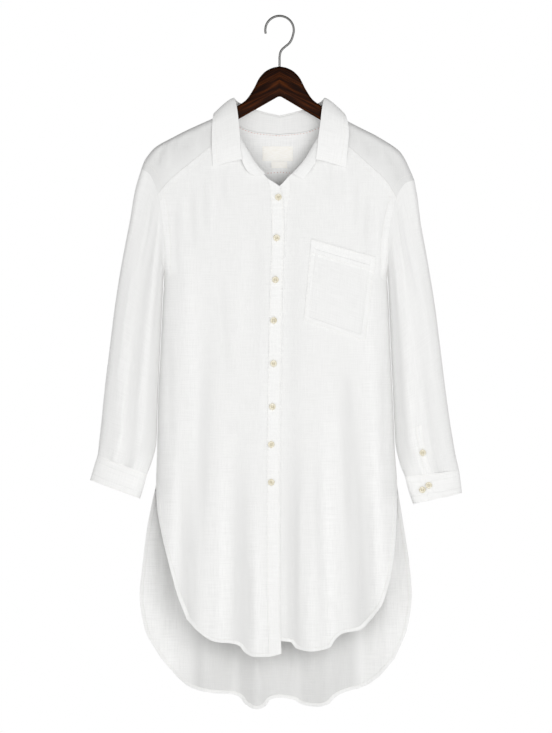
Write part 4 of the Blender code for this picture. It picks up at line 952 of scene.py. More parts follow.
cuffForm = {
    rightSide: table(
        sleeveNames, (309, 744, 225, 777, 16), (316, 766, 231, 799, 15.5), (322, 787, 237, 819, 15),
    ),
    leftSide: table(
        sleeveNames, (305, 770, 213, 781, 16), (308, 790, 219, 804, 15.5), (310, 809, 227, 828, 15),
    ),
    "edge": math.radians(109), "under": math.radians(24), "rise": math.radians(80), "steps": 150, "rows": 14,
    "thick": 1.5, "overlap": 1.8, "ring": 60,
    "tall": 48.0, "reach": 40.0,           # height, and length round it for each radian, for the stitches
}
armholeShares = (0, 0.1, 0.26, 0.48, 0.74, 1)  # where the first five steps end, down to the yoke's seam


def tubeSections(rows, row):
    index = np.arange(float(len(rows["depth"])))
    return {name: smoothCurve(index, rows[name], row) for name in rows}


def armholeOffsets(side, face):  # how far the armhole lies from a plain section, for each step round it
    whole = sleeveForm["capSteps"]
    half = whole // 2
    steps = np.linspace(0, whole, 161)
    upper, lower = armholeRows(side, fineSteps, fineSteps)
    first = tubeSections(sleeveForm[side], np.zeros(1))
    outer = np.array([first["outerOut"][0], first["outerDrop"][0]])
    inner = np.array([first["innerOut"][0], first["innerDrop"][0]])
    high = np.interp(np.minimum(steps, half), np.arange(half + 1), armholeShares) * (fineSteps - 1)
    low = np.clip(steps - half, 0, half) / half * (fineSteps - 1)
    index = np.arange(fineSteps)
    line = np.where(
        (steps <= half)[:, None],
        np.stack([np.interp(high, index, upper[:, c]) for c in (0, 1)], axis=1),
        np.stack([np.interp(low, index, lower[:, c]) for c in (0, 1)], axis=1),
    )
    share = (1 - np.cos(np.pi * steps / whole)) / 2
    flat = np.stack([abs(line[:, 0]), line[:, 1]], axis=1) - outer - (inner - outer) * share[:, None]
    deep = bodyDepth(face, line[:, 0], line[:, 1])
    deep[0] = deep[-1] = 0
    return steps, flat, deep


armholeStarts = {
    (side, face): armholeOffsets(side, face) for side in bothSides for face in (frontFace, backFace)
}


def sleeveRelief(side, row, angle):  # height of a sleeve's folds, creases and pleats alone
    form = sleeveForm
    share, length = (1 - np.cos(angle)) / 2, row / (len(form[side]["depth"]) - 1)
    place = np.where(np.sin(angle) >= 0, share, 1 - share)
    high = foldHeight(form["folds"][side], place, length)
    high = high + foldHeight(form["creases"][side], place, length, True)
    down = ease((length - 1 + form["pleatShare"]) / form["pleatShare"])
    down = down * ease((form["pleatEnd"] - length) / form["pleatFade"])
    for middle, half, rise in form["pleats"][side]:
        high = high + rise * down * np.exp(-(((place - middle) / half) ** 2))
    return high


def tubePoints(side, rows, row, angle, fromBody=False):
    # The angle runs from the outer line over the front to the inner line and on round the back
    row, angle = np.broadcast_arrays(np.asarray(row, float), np.asarray(angle, float))
    found = tubeSections(rows, row)
    share = (1 - np.cos(angle)) / 2
    isFront = np.sin(angle) >= 0
    outX = found["outerOut"] + (found["innerOut"] - found["outerOut"]) * share
    drop = found["outerDrop"] + (found["innerDrop"] - found["outerDrop"]) * share
    high = found["depth"] * abs(np.sin(angle)) ** sleeveForm["roundness"]
    if fromBody:
        form, length = sleeveForm, row / (len(rows["depth"]) - 1)
        fade = 1 - ease(length / form["fade"])
        turn = np.mod(angle, 2 * np.pi)
        step = np.where(isFront, turn, 2 * np.pi - turn) / np.pi * form["capSteps"]
        for face, chosen in ((frontFace, isFront), (backFace, ~isFront)):
            steps, flat, deep = armholeStarts[side, face]
            outX = outX + np.where(chosen, np.interp(step, steps, flat[:, 0]) * fade, 0)
            drop = drop + np.where(chosen, np.interp(step, steps, flat[:, 1]) * fade, 0)
            high = np.where(chosen, np.interp(step, steps, deep) * fade + high * (1 - fade), high)
        high = high + sleeveRelief(side, row, angle) * np.sin(angle) ** 2
    return np.stack([side * outX, np.where(isFront, frontFace, backFace) * high, -drop], axis=-1)


def outOf(middle, count):
    centres = np.repeat(middle, count, axis=0)
    return lambda points: points - centres


def innerShade(share, angles, length):  # painted shade: the front of a sleeve is painted darker where it turns in beside the body
    shade = sleeveForm["innerShade"]
    ends = ease(length / shade["ends"]) * ease((1 - length) / shade["ends"])
    toBack = ease(1 + np.sin(angles) / shade["turn"])
    return shade["dark"] * ease((share - shade["first"]) / shade["rise"]) * toBack * ends


def makeSleeve(side):
    form, name = sleeveForm, sideNames[side]
    rows = np.linspace(0, len(form[side]["depth"]) - 1, form["rows"])
    angles = np.linspace(0, 2 * np.pi, form["ring"], endpoint=False)
    grid = tubePoints(side, form[side], rows[:, None], angles[None], True)
    middle = grid.mean(axis=1)
    ring = np.linalg.norm(np.roll(grid, -1, axis=1) - grid, axis=2).sum(axis=1).mean()
    down = runLengths(middle)
    flat = np.stack(np.meshgrid(angles / (2 * np.pi) * ring, down), axis=-1).reshape(-1, 2)
    # painted shading: the folds' heights, less the painted shade beside the body
    shade = innerShade((1 - np.cos(angles))[None] / 2, angles[None], rows[:, None] / rows[-1])
    paintedShading = sleeveRelief(side, rows[:, None], angles[None]) - shade
    values = {"hemGap": noEdge, "seamGap": flat[:, 1] + form["pastSeam"], "paintedShading": paintedShading.ravel()}
    way = outOf(middle, len(angles))
    piece = gridWall("sleeve" + name, grid, way, linenOne, flat, closed=True, values=values)
    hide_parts("sleeve_" + name.lower())
    return piece


def cuffAngle(side, angle):  # it opens to the front on the left sleeve, to the back on the right one
    return angle if side == leftSide else 2 * np.pi - angle


def cuffGrid(side, rows, angles):
    form = cuffForm
    grid = tubePoints(side, form[side], rows[:, None], cuffAngle(side, angles)[None])
    whole = np.linspace(0, 2 * np.pi, form["ring"], endpoint=False)[None]
    middle = tubePoints(side, form[side], rows[:, None], whole).mean(axis=1)
    outside = grid - middle[:, None]
    outside[:, :, 2] = 0
    outside /= np.linalg.norm(outside, axis=2, keepdims=True)
    last = form["edge"] + 2 * np.pi
    lifts = form["overlap"] * ease(1 + (angles - last + form["under"]) / form["rise"])
    return grid + outside * lifts[None, :, None], middle, outside


def makeCuff(side):
    form, name = cuffForm, sideNames[side]
    angles = np.linspace(form["edge"] - form["under"], form["edge"] + 2 * np.pi, form["steps"])
    rows = np.linspace(0, 2, form["rows"])
    grid, middle = cuffGrid(side, rows, angles)[:2]
    flat = np.stack(np.meshgrid(runLengths(grid[0]), runLengths(grid[:, 0])), axis=-1).reshape(-1, 2)
    values = {"hemGap": noEdge, "seamGap": rimGap(grid)}
    way = outOf(middle, len(angles))
    piece = gridWall("cuff" + name, grid, way, linenTwo, flat, thick=form["thick"], values=values)
    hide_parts("cuff_" + name.lower())
    return piece


sleevePieces = {side: makeSleeve(side) for side in bothSides}
cuffPieces = {side: makeCuff(side) for side in bothSides}
print("sleeves and cuffs made")


# The collar: a stand, and the leaf that turns over it
collarCut = {
    "thick": 1.2, "clear": 0.6, "rollOver": 3.8, "rollWide": 9.0,
    "standRows": 14, "leafRows": 26, "steps": 78,
    "near": 0.2,           # sections this far off give the neckline's way
    "frontwards": (-1, -0.8), "lean": 0.5, "bow": 4.0, "up": 25.0, "aside": 0.3,
}


def quadratic(a, b, c, t):
    return a * (1 - t) ** 2 + b * 2 * t * (1 - t) + c * t * t


def collarSection(side, row):
    near = collarCut["near"]
    rows = np.array([row, max(row - near, 0), min(row + near, collarForm["backRow"])])
    all3 = collarSections(side, rows)
    found = {name: values[0] for name, values in all3.items()}
    face = frontFace if row < collarForm["shoulderRow"] else backFace
    turn = found["turn"]
    openWay = np.array([all3["seamDrop"][1] - all3["seamDrop"][2], all3["seamOut"][2] - all3["seamOut"][1]])
    openWay = openWay / np.linalg.norm(openWay)
    if openWay @ np.array(collarCut["frontwards"]) < 0:
        openWay = -openWay
    if row >= collarForm["backRow"]:
        openWay = np.array([0, -1])
    x, drop = np.array([side * found["seamOut"]]), np.array([found["seamDrop"]])
    base = bodyPoints(face, x, drop)[0]
    if abs(row - collarForm["shoulderRow"]) < 1e-6:
        base[1] = 0
    shift = openWay * (collarCut["clear"] + collarCut["thick"] * turn)
    below = belowShoulder(x, drop)[0]
    under = -face * collarCut["thick"] * (1 - turn) * ease(below / bodyForm["ridgeRound"])
    level = under + face * layerGap * turn
    base += np.array([side * shift[0], level, -shift[1]])
    roll = np.array([side * found["rollOut"], found["rollY"], -found["rollDrop"]])
    lean = base + (roll - base) * collarCut["lean"] * (1 - turn) + np.array([0, -collarCut["bow"] * turn, 0])
    rise = np.array([0, -turn, 1]) / math.hypot(turn, 1)
    start = roll + rise * collarCut["rollOver"]
    edge = np.array([side * found["edgeOut"], found["edgeY"], -found["edgeDrop"]])
    away = (edge - roll) * np.array([1, 1, 0])
    away = away / max(np.linalg.norm(away), 1e-6)
    over = start + away * collarCut["rollWide"]
    stand = [quadratic(base, lean, roll, t) for t in evenly(collarCut["standRows"])]
    leaf = [quadratic(start, over, edge, t) for t in evenly(collarCut["leafRows"])]
    return np.array(stand), np.array(leaf)


def collarGrids():
    rows = np.linspace(0, collarForm["backRow"], collarCut["steps"])
    rows = np.unique(np.concatenate([rows, [collarForm["leafRow"], collarForm["shoulderRow"]]]))
    sides = {side: [collarSection(side, row) for row in rows] for side in bothSides}
    stand = [s[0] for s in sides[rightSide]] + [s[0] for s in sides[leftSide][-2::-1]]
    leafed = [k for k, row in enumerate(rows) if row >= collarForm["leafRow"]]
    leaf = [sides[rightSide][k][1] for k in leafed] + [sides[leftSide][k][1] for k in leafed[-2::-1]]
    return np.array(stand), np.array(leaf)


def intoNeck(points):
    return np.stack([-points[:, 0], -points[:, 1], np.zeros(len(points))], axis=1)


def overTop(points):  # up, to the front or back, and a little to the side
    up = np.full(len(points), collarCut["up"])
    return np.stack([points[:, 0] * collarCut["aside"], points[:, 1], up], axis=1)


def makeCollar():
    stand, leaf = collarGrids()
    parts = (("collarStand", "collar_stand", stand, intoNeck), ("collarLeaf", "collar_leaf", leaf, overTop))
    for name, node, grid, way in parts:
        piece = gridWall(name, grid, way, linenTwo, flatOf(grid), thick=collarCut["thick"], values=noSeams)
        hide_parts(node)
    return leaf


leafGrid = makeCollar()
print("collar made")


# The pocket, cut at a slant and sewn on the left front, with a folded hem at its mouth
pocketCut = {
    "topInner": (54, 378), "topOuter": (163, 409), "lowOuter": (145, 552), "lowInner": (41, 516),
    "hem": 24.0, "hemRows": 14, "across": 60, "down": 70, "layer": 1.0, "bulge": 1.2, "hemLift": 0.15,
    "narrower": 2.0,       # its seam allowance shows this much narrower than the body's
}


def pocketAt(u, v):  # (x, drop) at shares of its width and depth
    corners = [np.array(pocketCut[name], float) for name in ("topInner", "topOuter", "lowOuter", "lowInner")]
    u, v = np.asarray(u, float)[..., None], np.asarray(v, float)[..., None]
    upper, lower = corners[0] + (corners[1] - corners[0]) * u, corners[3] + (corners[2] - corners[3]) * u
    return upper + (lower - upper) * v


def onPocket(flat, lift):
    points = leftFrontPoints(flat[..., 0], flat[..., 1])
    points[..., 1] -= lift
    return points


def makePocket():
    cut = pocketCut
    deep = math.dist(cut["lowInner"], cut["topInner"])
    hem, folded = cut["hem"] / deep, cut["hemRows"]
    vs = np.concatenate([np.linspace(0, hem, folded), np.linspace(hem, 1, cut["down"] - folded + 1)[1:]])
    flat = pocketAt(evenly(cut["across"])[None], vs[:, None])
    bulge = np.sin(np.pi * evenly(cut["across"]))[None] * np.sin(np.pi * vs)[:, None] * cut["bulge"]
    grid = onPocket(flat, layerGap + cut["layer"] + bulge)
    layers = (
        ("pocketBody", "pocket", grid, 0, linenOne),
        ("pocketHem", "pocket_hem", grid[:folded], cut["layer"] + cut["hemLift"], linenTwo),
    )
    for name, node, part, lift, linen in layers:
        values = {"hemGap": noEdge, "seamGap": rimGap(part) + cut["narrower"]}
        piece = gridWall(
            name, part, facing(frontFace), linen, flatOf(part),
            thick=cut["layer"], lift=lift, values=values,
        )
        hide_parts(node)
    return grid


pocketGrid = makePocket()
print("pocket made")


# Plackets at the sleeves' ends
sleevePlacket = {"first": 7.75, "last": 9.93, "angles": (91, 105), "layer": 1.0, "rows": 40, "columns": 10}


def makeSleevePlacket(side):
    cut, name = sleevePlacket, sideNames[side]
    rows = np.linspace(cut["first"], cut["last"], cut["rows"])
    angles = cuffAngle(side, np.radians(np.linspace(*cut["angles"], cut["columns"])))
    grid = tubePoints(side, sleeveForm[side], rows[:, None], angles[None], True)
    face = frontFace if side == leftSide else backFace
    piece = gridWall(
        "sleevePlacket" + name, grid, facing(face), linenTwo, flatOf(grid),
        thick=cut["layer"], lift=cut["layer"] + layerGap, values=noSeams,
    )
    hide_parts("sleeve_placket_" + name.lower())
    return piece, grid


sleevePlackets = {side: makeSleevePlacket(side) for side in bothSides}


# Bare woven labels inside the back neck
labelCut = {  # right and left edge, top and low edge
    "main": (-29, 23, 219, 244), "tab": (-14, 13, 244.6, 256), "thick": 0.7, "clear": 0.9, "sag": 0.5,
    "rows": 16, "columns": 28,
}


def makeLabel(name, node, left, right, top, low):
    cut = labelCut
    x, drop = np.meshgrid(np.linspace(left, right, cut["columns"]), np.linspace(top, low, cut["rows"]))
    sag = np.sin(np.pi * (x - left) / (right - left)) * ((drop - top) / (low - top)) ** 2
    depths = bodyDepth(backFace, x, drop) - bodyForm["cloth"] - cut["clear"] - cut["thick"] - cut["sag"] * sag
    grid = np.stack([x, depths, -drop], axis=-1)
    piece = gridWall(name, grid, facing(frontFace), labelTape, flatOf(grid), thick=cut["thick"])
    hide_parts(node)
    return grid


labelGrid = makeLabel("neckLabel", "label", *labelCut["main"])
makeLabel("sizeTab", "label_tab", *labelCut["tab"])
print("labels made")


# The hanger: half of its outline runs from the crown out along one arm
hangerForm = {
    "wood": 13.0, "edge": 4.5, "crown": table(
        "out top", (0, 84), (9, 85.5), (21, 90.5), (34, 103), (44, 122), (57, 141), (72, 151.5)
    ),
    "underPeak": 134.0, "armDeep": 23.0, "armEnd": 184.0, "armShy": 4.2, "armStart": 92.0, "underStart": 88.0,
    "crownSteps": 40, "armSteps": 24, "tip": ((5, 8), (4, 17)), "tipIn": 4,
    "bendSteps": 60, "hookSteps": 110,
    "wire": 3.9, "hookRadius": 24.2, "bend": (195, -14), "hookDeep": 18.0,
    "hookNeck": table("x drop", (20.5, 38), (16, 45), (10, 50), (4.5, 55), (1.2, 61), (0, 70)),
}


def armTop(side, out):
    shoulder = bodyForm["shoulder"][side]
    return smoothCurve(shoulder["out"], shoulder["drop"], out) + hangerForm["armShy"]


def hangerHalf(side):
    form = hangerForm
    crownOut = np.linspace(0, form["crown"]["out"][-1], form["crownSteps"])
    top = np.stack([crownOut, smoothCurve(form["crown"]["out"], form["crown"]["top"], crownOut)], axis=1)
    armOut = np.linspace(form["armStart"], form["armEnd"], form["armSteps"])
    arm = np.stack([armOut, armTop(side, armOut)], axis=1)
    end = arm[-1] + np.array(form["tip"])
    lowOut = np.linspace(form["armEnd"] - form["tipIn"], form["underStart"], form["armSteps"])
    low = np.stack([lowOut, armTop(side, lowOut) + form["armDeep"]], axis=1)
    return signed(side, np.vstack([top, arm, end, low]))


def makeHanger():
    form = hangerForm
    outline = np.vstack([hangerHalf(leftSide), [[0, form["underPeak"]]], hangerHalf(rightSide)[:0:-1]])
    shape = bmesh.new()
    corners = [shape.verts.new((x * mm, -form["wood"] / 2 * mm, -drop * mm)) for x, drop in outline]
    face = shape.faces.new(corners)
    grown = bmesh.ops.extrude_face_region(shape, geom=[face])
    moved = [item for item in grown["geom"] if isinstance(item, bmesh.types.BMVert)]
    bmesh.ops.translate(shape, verts=moved, vec=(0, form["wood"] * mm, 0))
    bmesh.ops.recalc_face_normals(shape, faces=shape.faces)
    mesh = bpy.data.meshes.new("woodenHanger")
    shape.to_mesh(mesh)
    shape.free()
    wood = bpy.data.objects.new("woodenHanger", mesh)
    bpy.context.scene.collection.objects.link(wood)
    rounding = wood.modifiers.new("rounding", "BEVEL")
    rounding.width, rounding.segments = form["edge"] * mm, 5
    rounding.limit_method, rounding.angle_limit = "ANGLE", math.radians(60)
    mesh.materials.append(walnut)
    mesh.shade_smooth()
    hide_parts("hanger_wood")
    return wood


def makeHook():
    form = hangerForm
    centre = form["hookRadius"] - form["wire"] / 2
    angles = np.radians(np.linspace(*form["bend"], form["bendSteps"]))
    radius = form["hookRadius"]
    bend = np.stack([radius * np.cos(angles), centre - radius * np.sin(angles)], axis=1)
    neck = np.stack([form["hookNeck"]["x"], form["hookNeck"]["drop"]], axis=1)
    whole = np.vstack([bend, neck, [[0, form["crown"]["top"][0] + form["hookDeep"]]]])
    line = along({"x": whole[:, 0], "drop": whole[:, 1]}, "x drop", evenly(form["hookSteps"]))
    curve = bpy.data.curves.new("hook", "CURVE")
    curve.dimensions, curve.bevel_depth, curve.bevel_resolution = "3D", form["wire"] / 2 * mm, 6
    curve.use_fill_caps = True
    spline = curve.splines.new("POLY")
    spline.points.add(len(line) - 1)
    for point, (x, drop) in zip(spline.points, line):
        point.co = (x * mm, 0, -drop * mm, 1)
    swept = bpy.data.objects.new("hookCurve", curve)
    bpy.context.scene.collection.objects.link(swept)
    mesh = bpy.data.meshes.new_from_object(swept.evaluated_get(bpy.context.evaluated_depsgraph_get()))
    bpy.data.objects.remove(swept, do_unlink=True)
    hook = bpy.data.objects.new("steelHook", mesh)
    bpy.context.scene.collection.objects.link(hook)
    mesh.materials.clear()
    mesh.materials.append(drawnSteel)
    mesh.shade_smooth()
    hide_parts("hanger_hook")
    return hook


# Dark stained walnut under a thin satin lacquer: its grain follows each arm and meets in a mitre at the
# centre, so the eye sees two bent arms, nearly black with warm brown streaks and hardly any shine.
walnutLook = {
    "slope": math.radians(27), "bandAcross": 7.0, "bandAlong": 90.0, "lineAcross": 1.1, "lineAlong": 45.0,
    "grainDeep": 0.00008,
    "bands": [(0.36, "#1f0a03"), (0.66, "#54280a"), (0.5, "#331504")],
    "lines": [(0.35, "#5c5c5c"), (0.6, "#ffffff")],
    "finish": {"Roughness": 0.42, "Specular IOR Level": 0.03, "Coat Weight": 0.01, "Coat Roughness": 0.3},
}


def walnutMaterial():
    look, maths = walnutLook, "ShaderNodeMath"
    material, tree, shader = newMaterial("stainedWalnut", look["bands"][2][1], look["finish"])
    place = addNode(tree, "ShaderNodeTexCoord").outputs["Object"]
    x, y, up = addNode(tree, "ShaderNodeSeparateXYZ", None, {0: place}).outputs
    out = addNode(tree, maths, {"operation": "ABSOLUTE"}, {0: x}).outputs[0]
    sine, cosine = math.sin(look["slope"]), math.cos(look["slope"])
    turned = []
    for outShare, upShare in ((sine, cosine), (cosine, -sine)):  # across an arm, then along it
        risen = addNode(tree, maths, {"operation": "MULTIPLY"}, {0: up, 1: upShare}).outputs[0]
        inputs = {0: out, 1: outShare, 2: risen}
        turned.append(addNode(tree, maths, {"operation": "MULTIPLY_ADD"}, inputs).outputs[0])
    onArm = addNode(tree, "ShaderNodeCombineXYZ", None, {0: turned[0], 1: turned[1], 2: y}).outputs[0]

    def grain(wide, long):  # streaks that are wide by long millimetres
        scale = (1 / (wide * mm), 1 / (long * mm), 1 / (wide * mm))
        laid = addNode(tree, "ShaderNodeMapping", None, {"Vector": onArm, "Scale": scale}).outputs[0]
        inputs = {"Vector": laid, "Scale": 1.0, "Detail": 3.0, "Distortion": 0.3}
        return addNode(tree, "ShaderNodeTexNoise", None, inputs).outputs["Fac"]

    fine = grain(look["lineAcross"], look["lineAlong"])
    wide = grain(look["bandAcross"], look["bandAlong"])
    bands = addNode(tree, "ShaderNodeValToRGB", {"stops": look["bands"]}, {"Fac": wide})
    lines = addNode(tree, "ShaderNodeValToRGB", {"stops": look["lines"]}, {"Fac": fine})
    mixed = addNode(
        tree, "ShaderNodeMix", {"data_type": "RGBA", "blend_type": "MULTIPLY"},
        {0: 1.0, 6: bands.outputs[0], 7: lines.outputs[0]},
    )
    tree.links.new(mixed.outputs[2], shader.inputs["Base Color"])
    inputs = {"Strength": 1.0, "Distance": look["grainDeep"], "Height": fine}
    bump = addNode(tree, "ShaderNodeBump", None, inputs)
    tree.links.new(bump.outputs[0], shader.inputs["Normal"])
    return material


walnut = walnutMaterial()
woodenHanger, steelHook = makeHanger(), makeHook()
print("hanger made")


# Buttons: shell discs with a dished middle and four holes
buttonForm = {
    "across": 11.0, "thick": 2.0, "edge": 0.35, "hole": 0.62, "holeGap": 1.25, "sides": 40, "holeSides": 12,
    "rimWide": 1.1, "dishWide": 1.6, "dishDeep": 0.45, "topShare": 0.6,
    "frontProud": 0.5, "cuffProud": 0.4,   # how far its underside stands off the cloth
    "front": table(
        "x drop", (-2, 307), (-5, 376), (-7, 447), (-10, 516), (-10, 589), (-12, 662), (-14, 726), (-14, 790)
    ),
    "cuff": table("row share", (8.7, 0.565), (0.86, 0.61), (1.12, 0.745)),
}


def discMesh(name):  # lies on Z = 0 and faces +Z, in millimetres
    form = buttonForm
    curve = bpy.data.curves.new(name, "CURVE")
    curve.dimensions, curve.fill_mode = "2D", "BOTH"
    edge, gap = form["edge"], form["holeGap"]
    curve.extrude, curve.bevel_depth, curve.bevel_resolution = form["thick"] / 2 - edge, edge, 2
    rings = [(0, 0, form["across"] / 2 - edge, form["sides"])]
    rings += [(x * gap, y * gap, form["hole"] + edge, form["holeSides"]) for x in (-1, 1) for y in (-1, 1)]
    for x, y, radius, sides in rings:
        spline = curve.splines.new("POLY")
        spline.points.add(sides - 1)
        spline.use_cyclic_u = True
        for k, point in enumerate(spline.points):
            angle = 2 * math.pi * k / sides
            point.co = (x + radius * math.cos(angle), y + radius * math.sin(angle), 0, 1)
    drawn = bpy.data.objects.new(name, curve)
    bpy.context.scene.collection.objects.link(drawn)
    mesh = bpy.data.meshes.new_from_object(drawn.evaluated_get(bpy.context.evaluated_depsgraph_get()))
    bpy.data.objects.remove(drawn, do_unlink=True)
    return mesh


def seatY(place, x, drop, face):  # the outermost cloth under the whole button
    ring = np.radians(np.arange(0, 360, 20))
    reach = np.array([[0.0], [0.5], [0.9], [1.0]]) * buttonForm["across"] / 2
    ys = place(x + reach * np.cos(ring), drop + reach * np.sin(ring))[..., 1]
    return ys.min() if face == frontFace else ys.max()


def makeButton(name, node, disc, x, y, drop, face):
    form, points = buttonForm, np.array([vertex.co for vertex in disc.vertices])
    inside = form["across"] / 2 - form["rimWide"] - np.linalg.norm(points[:, :2], axis=1)
    high = points[:, 2] + form["thick"] / 2
    isTop = high > form["thick"] * form["topShare"]
    high = high - isTop * form["dishDeep"] * ease(inside / form["dishWide"])
    placed = np.stack([x - face * points[:, 0], y + face * high, -drop + points[:, 1]], axis=1)
    faces = [tuple(p.vertices) for p in disc.polygons]
    piece = addMesh(name, placed, faces, shellButton)
    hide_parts(node)


def onPlacket(x, drop):
    points = frontPoints(x, drop)
    points[..., 1] -= bodyForm["cloth"] + layerGap
    return points


disc = discMesh("disc")
buttonSpots = []
for k, (x, drop) in enumerate(zip(buttonForm["front"]["x"], buttonForm["front"]["drop"])):
    y = seatY(onPlacket, x, drop, frontFace) + frontFace * buttonForm["frontProud"]
    makeButton(f"button{k + 1}", f"button_{k + 1}", disc, x, y, drop, frontFace)
    buttonSpots.append((onPlacket, x, y, drop, frontFace, False))
print("front buttons made")


def surfaceOf(*items):  # the faces of made pieces, to lay others on
    corners, faces = [], []
    for item in items:
        faces += [tuple(k + len(corners) for k in p.vertices) for p in item.data.polygons]
        corners += [tuple(v.co) for v in item.data.vertices]
    return BVHTree.FromPolygons(corners, faces)


def laidOn(tree, face):  # a place function over made pieces, seen from the front or the back
    def place(x, drop):
        x, drop = np.broadcast_arrays(x, drop)
        spots = zip(x.ravel() * mm, -drop.ravel() * mm)
        found = [tree.ray_cast((across, face, up), (0, -face, 0))[0] for across, up in spots]
        ys = np.array([hit.y / mm if hit else 0.0 for hit in found]).reshape(x.shape)
        return np.stack([x, ys, -drop], axis=-1)

    return place


def makeCuffButtons(side):
    name = sideNames[side]
    face = frontFace if side == leftSide else backFace
    place = laidOn(surfaceOf(sleevePieces[side], sleevePlackets[side][0], cuffPieces[side]), face)
    for k, (row, share) in enumerate(zip(buttonForm["cuff"]["row"], buttonForm["cuff"]["share"])):
        angle = cuffAngle(side, math.acos(1 - 2 * share))
        rows = sleeveForm[side] if k == 0 else cuffForm[side]
        spot = tubePoints(side, rows, row, angle, k == 0)
        y = seatY(place, spot[0], -spot[2], face) + face * buttonForm["cuffProud"]
        node = f"cuff_button_{name.lower()}_{k + 1}"
        makeButton(f"cuffButton{name}{k + 1}", node, disc, spot[0], y, -spot[2], face)
        buttonSpots.append((place, spot[0], y, -spot[2], face, k > 0))


for side in bothSides:
    makeCuffButtons(side)
print("cuff buttons made")


# Stitches: even runs beside every seam and edge, a pink run inside the neck and along the back yoke's seam
stitchForm = {
    "inEdge": 1.6, "allowance": 10.6, "hem": 5.6, "collar": 5.0, "cuff": 2.6, "proud": 0.12,
    "ends": (0.02, 0.98),
    "runs": {
        "whiteStitches": {"pitch": 2.6, "length": 2.0, "radius": 0.26, "uneven": 0.14, "seed": 3},
        "pinkStitches": {"pitch": 5.2, "length": 2.4, "radius": 0.5, "uneven": 0.12, "seed": 5},
        "buttonholes": {"pitch": 0.8, "length": 1.1, "radius": 0.42, "uneven": 0.1, "seed": 8},
        "buttonThreads": {"pitch": 0.6, "length": 1.3, "radius": 0.32, "uneven": 0.1, "seed": 11},
    },
    "holeHalf": (1.25, 7.4), "holeSquare": 1.6, "holeProud": 0.2, "threadSunk": 0.3,
    "lineSteps": 80, "armholeSteps": 40, "cuffSteps": 300, "closingSteps": 30,
    # Rows and columns here are places on the grid of the piece that is sewn
    "pocketHem": (0.9, 12.0), "pocketHemIn": 0.6, "pocketHemSteps": 90, "labelIn": 0.7,
    "neckFrom": 8.4, "neckSteps": 60, "pinkIn": 2.2,
}


def stitchTree():
    tree = bpy.data.node_groups.new("stitchesOnPaths", "GeometryNodeTree")
    face = tree.interface
    face.new_socket("Paths", in_out="INPUT", socket_type="NodeSocketGeometry")
    for name in ("Pitch", "Length", "Radius", "Uneven"):
        face.new_socket(name, in_out="INPUT", socket_type="NodeSocketFloat")
    face.new_socket("Seed", in_out="INPUT", socket_type="NodeSocketInt")
    face.new_socket("Thread", in_out="INPUT", socket_type="NodeSocketMaterial")
    face.new_socket("Stitches", in_out="OUTPUT", socket_type="NodeSocketGeometry")
    given = addNode(tree, "NodeGroupInput").outputs
    curves = addNode(tree, "GeometryNodeMeshToCurve", None, {"Mesh": given["Paths"]})
    line = {"Curve": curves.outputs[0], "Length": given["Pitch"]}
    spots = addNode(tree, "GeometryNodeCurveToPoints", {"mode": "LENGTH"}, line)
    tangent = {"Vector": spots.outputs["Tangent"]}
    turned = addNode(tree, "FunctionNodeAlignRotationToVector", {"axis": "Z"}, tangent).outputs[0]
    ball = addNode(tree, "GeometryNodeMeshUVSphere", None, {"Segments": 6, "Rings": 4, "Radius": 1.0})
    half = addNode(tree, "ShaderNodeMath", {"operation": "MULTIPLY"}, {0: given["Length"], 1: 0.5}).outputs[0]
    radii = {0: given["Radius"], 1: given["Radius"], 2: half}
    size = addNode(tree, "ShaderNodeCombineXYZ", None, radii).outputs[0]
    stitch = addNode(tree, "GeometryNodeTransform", None, {"Geometry": ball.outputs[0], "Scale": size})
    less = addNode(tree, "ShaderNodeMath", {"operation": "SUBTRACT"}, {0: 1.0, 1: given["Uneven"]}).outputs[0]
    more = addNode(tree, "ShaderNodeMath", {"operation": "ADD"}, {0: 1.0, 1: given["Uneven"]}).outputs[0]
    limits = {2: less, 3: more, "Seed": given["Seed"]}
    vary = addNode(tree, "FunctionNodeRandomValue", {"data_type": "FLOAT"}, limits)
    laid = addNode(tree, "GeometryNodeInstanceOnPoints", None, {
        "Points": spots.outputs["Points"], "Instance": stitch.outputs[0],
        "Rotation": turned, "Scale": vary.outputs[1],
    })
    real = addNode(tree, "GeometryNodeRealizeInstances", None, {"Geometry": laid.outputs[0]})
    dressed = {"Geometry": real.outputs[0], "Material": given["Thread"]}
    done = addNode(tree, "GeometryNodeSetMaterial", None, dressed)
    addNode(tree, "NodeGroupOutput", None, {"Stitches": done.outputs[0]})
    return tree


def stitched(name, paths, thread, tree):  # one plain mesh of stitches along all the paths
    run, corners, edges = stitchForm["runs"][name], [], []
    for path in paths:
        first = len(corners)
        corners += (np.asarray(path) * mm).tolist()
        edges += [(first + k, first + k + 1) for k in range(len(path) - 1)]
    lines = bpy.data.meshes.new(name + "Paths")
    lines.from_pydata(corners, edges, [])
    drawn = bpy.data.objects.new(name + "Paths", lines)
    bpy.context.scene.collection.objects.link(drawn)
    modifier = drawn.modifiers.new("stitches", "NODES")
    modifier.node_group = tree
    values = {
        "Pitch": run["pitch"] * mm, "Length": run["length"] * mm, "Radius": run["radius"] * mm,
        "Uneven": run["uneven"], "Seed": run["seed"], "Thread": thread,
    }
    for item in tree.interface.items_tree:
        if item.in_out == "INPUT" and item.name in values:
            modifier[item.identifier] = values[item.name]
    mesh = bpy.data.meshes.new_from_object(drawn.evaluated_get(bpy.context.evaluated_depsgraph_get()))
    bpy.data.objects.remove(drawn, do_unlink=True)
    mesh.name = name
    mesh.shade_smooth()
    piece = bpy.data.objects.new(name, mesh)
    bpy.context.scene.collection.objects.link(piece)
    pieces[name] = piece
    print("stitches", name, len(paths), "paths", len(mesh.polygons), "faces")


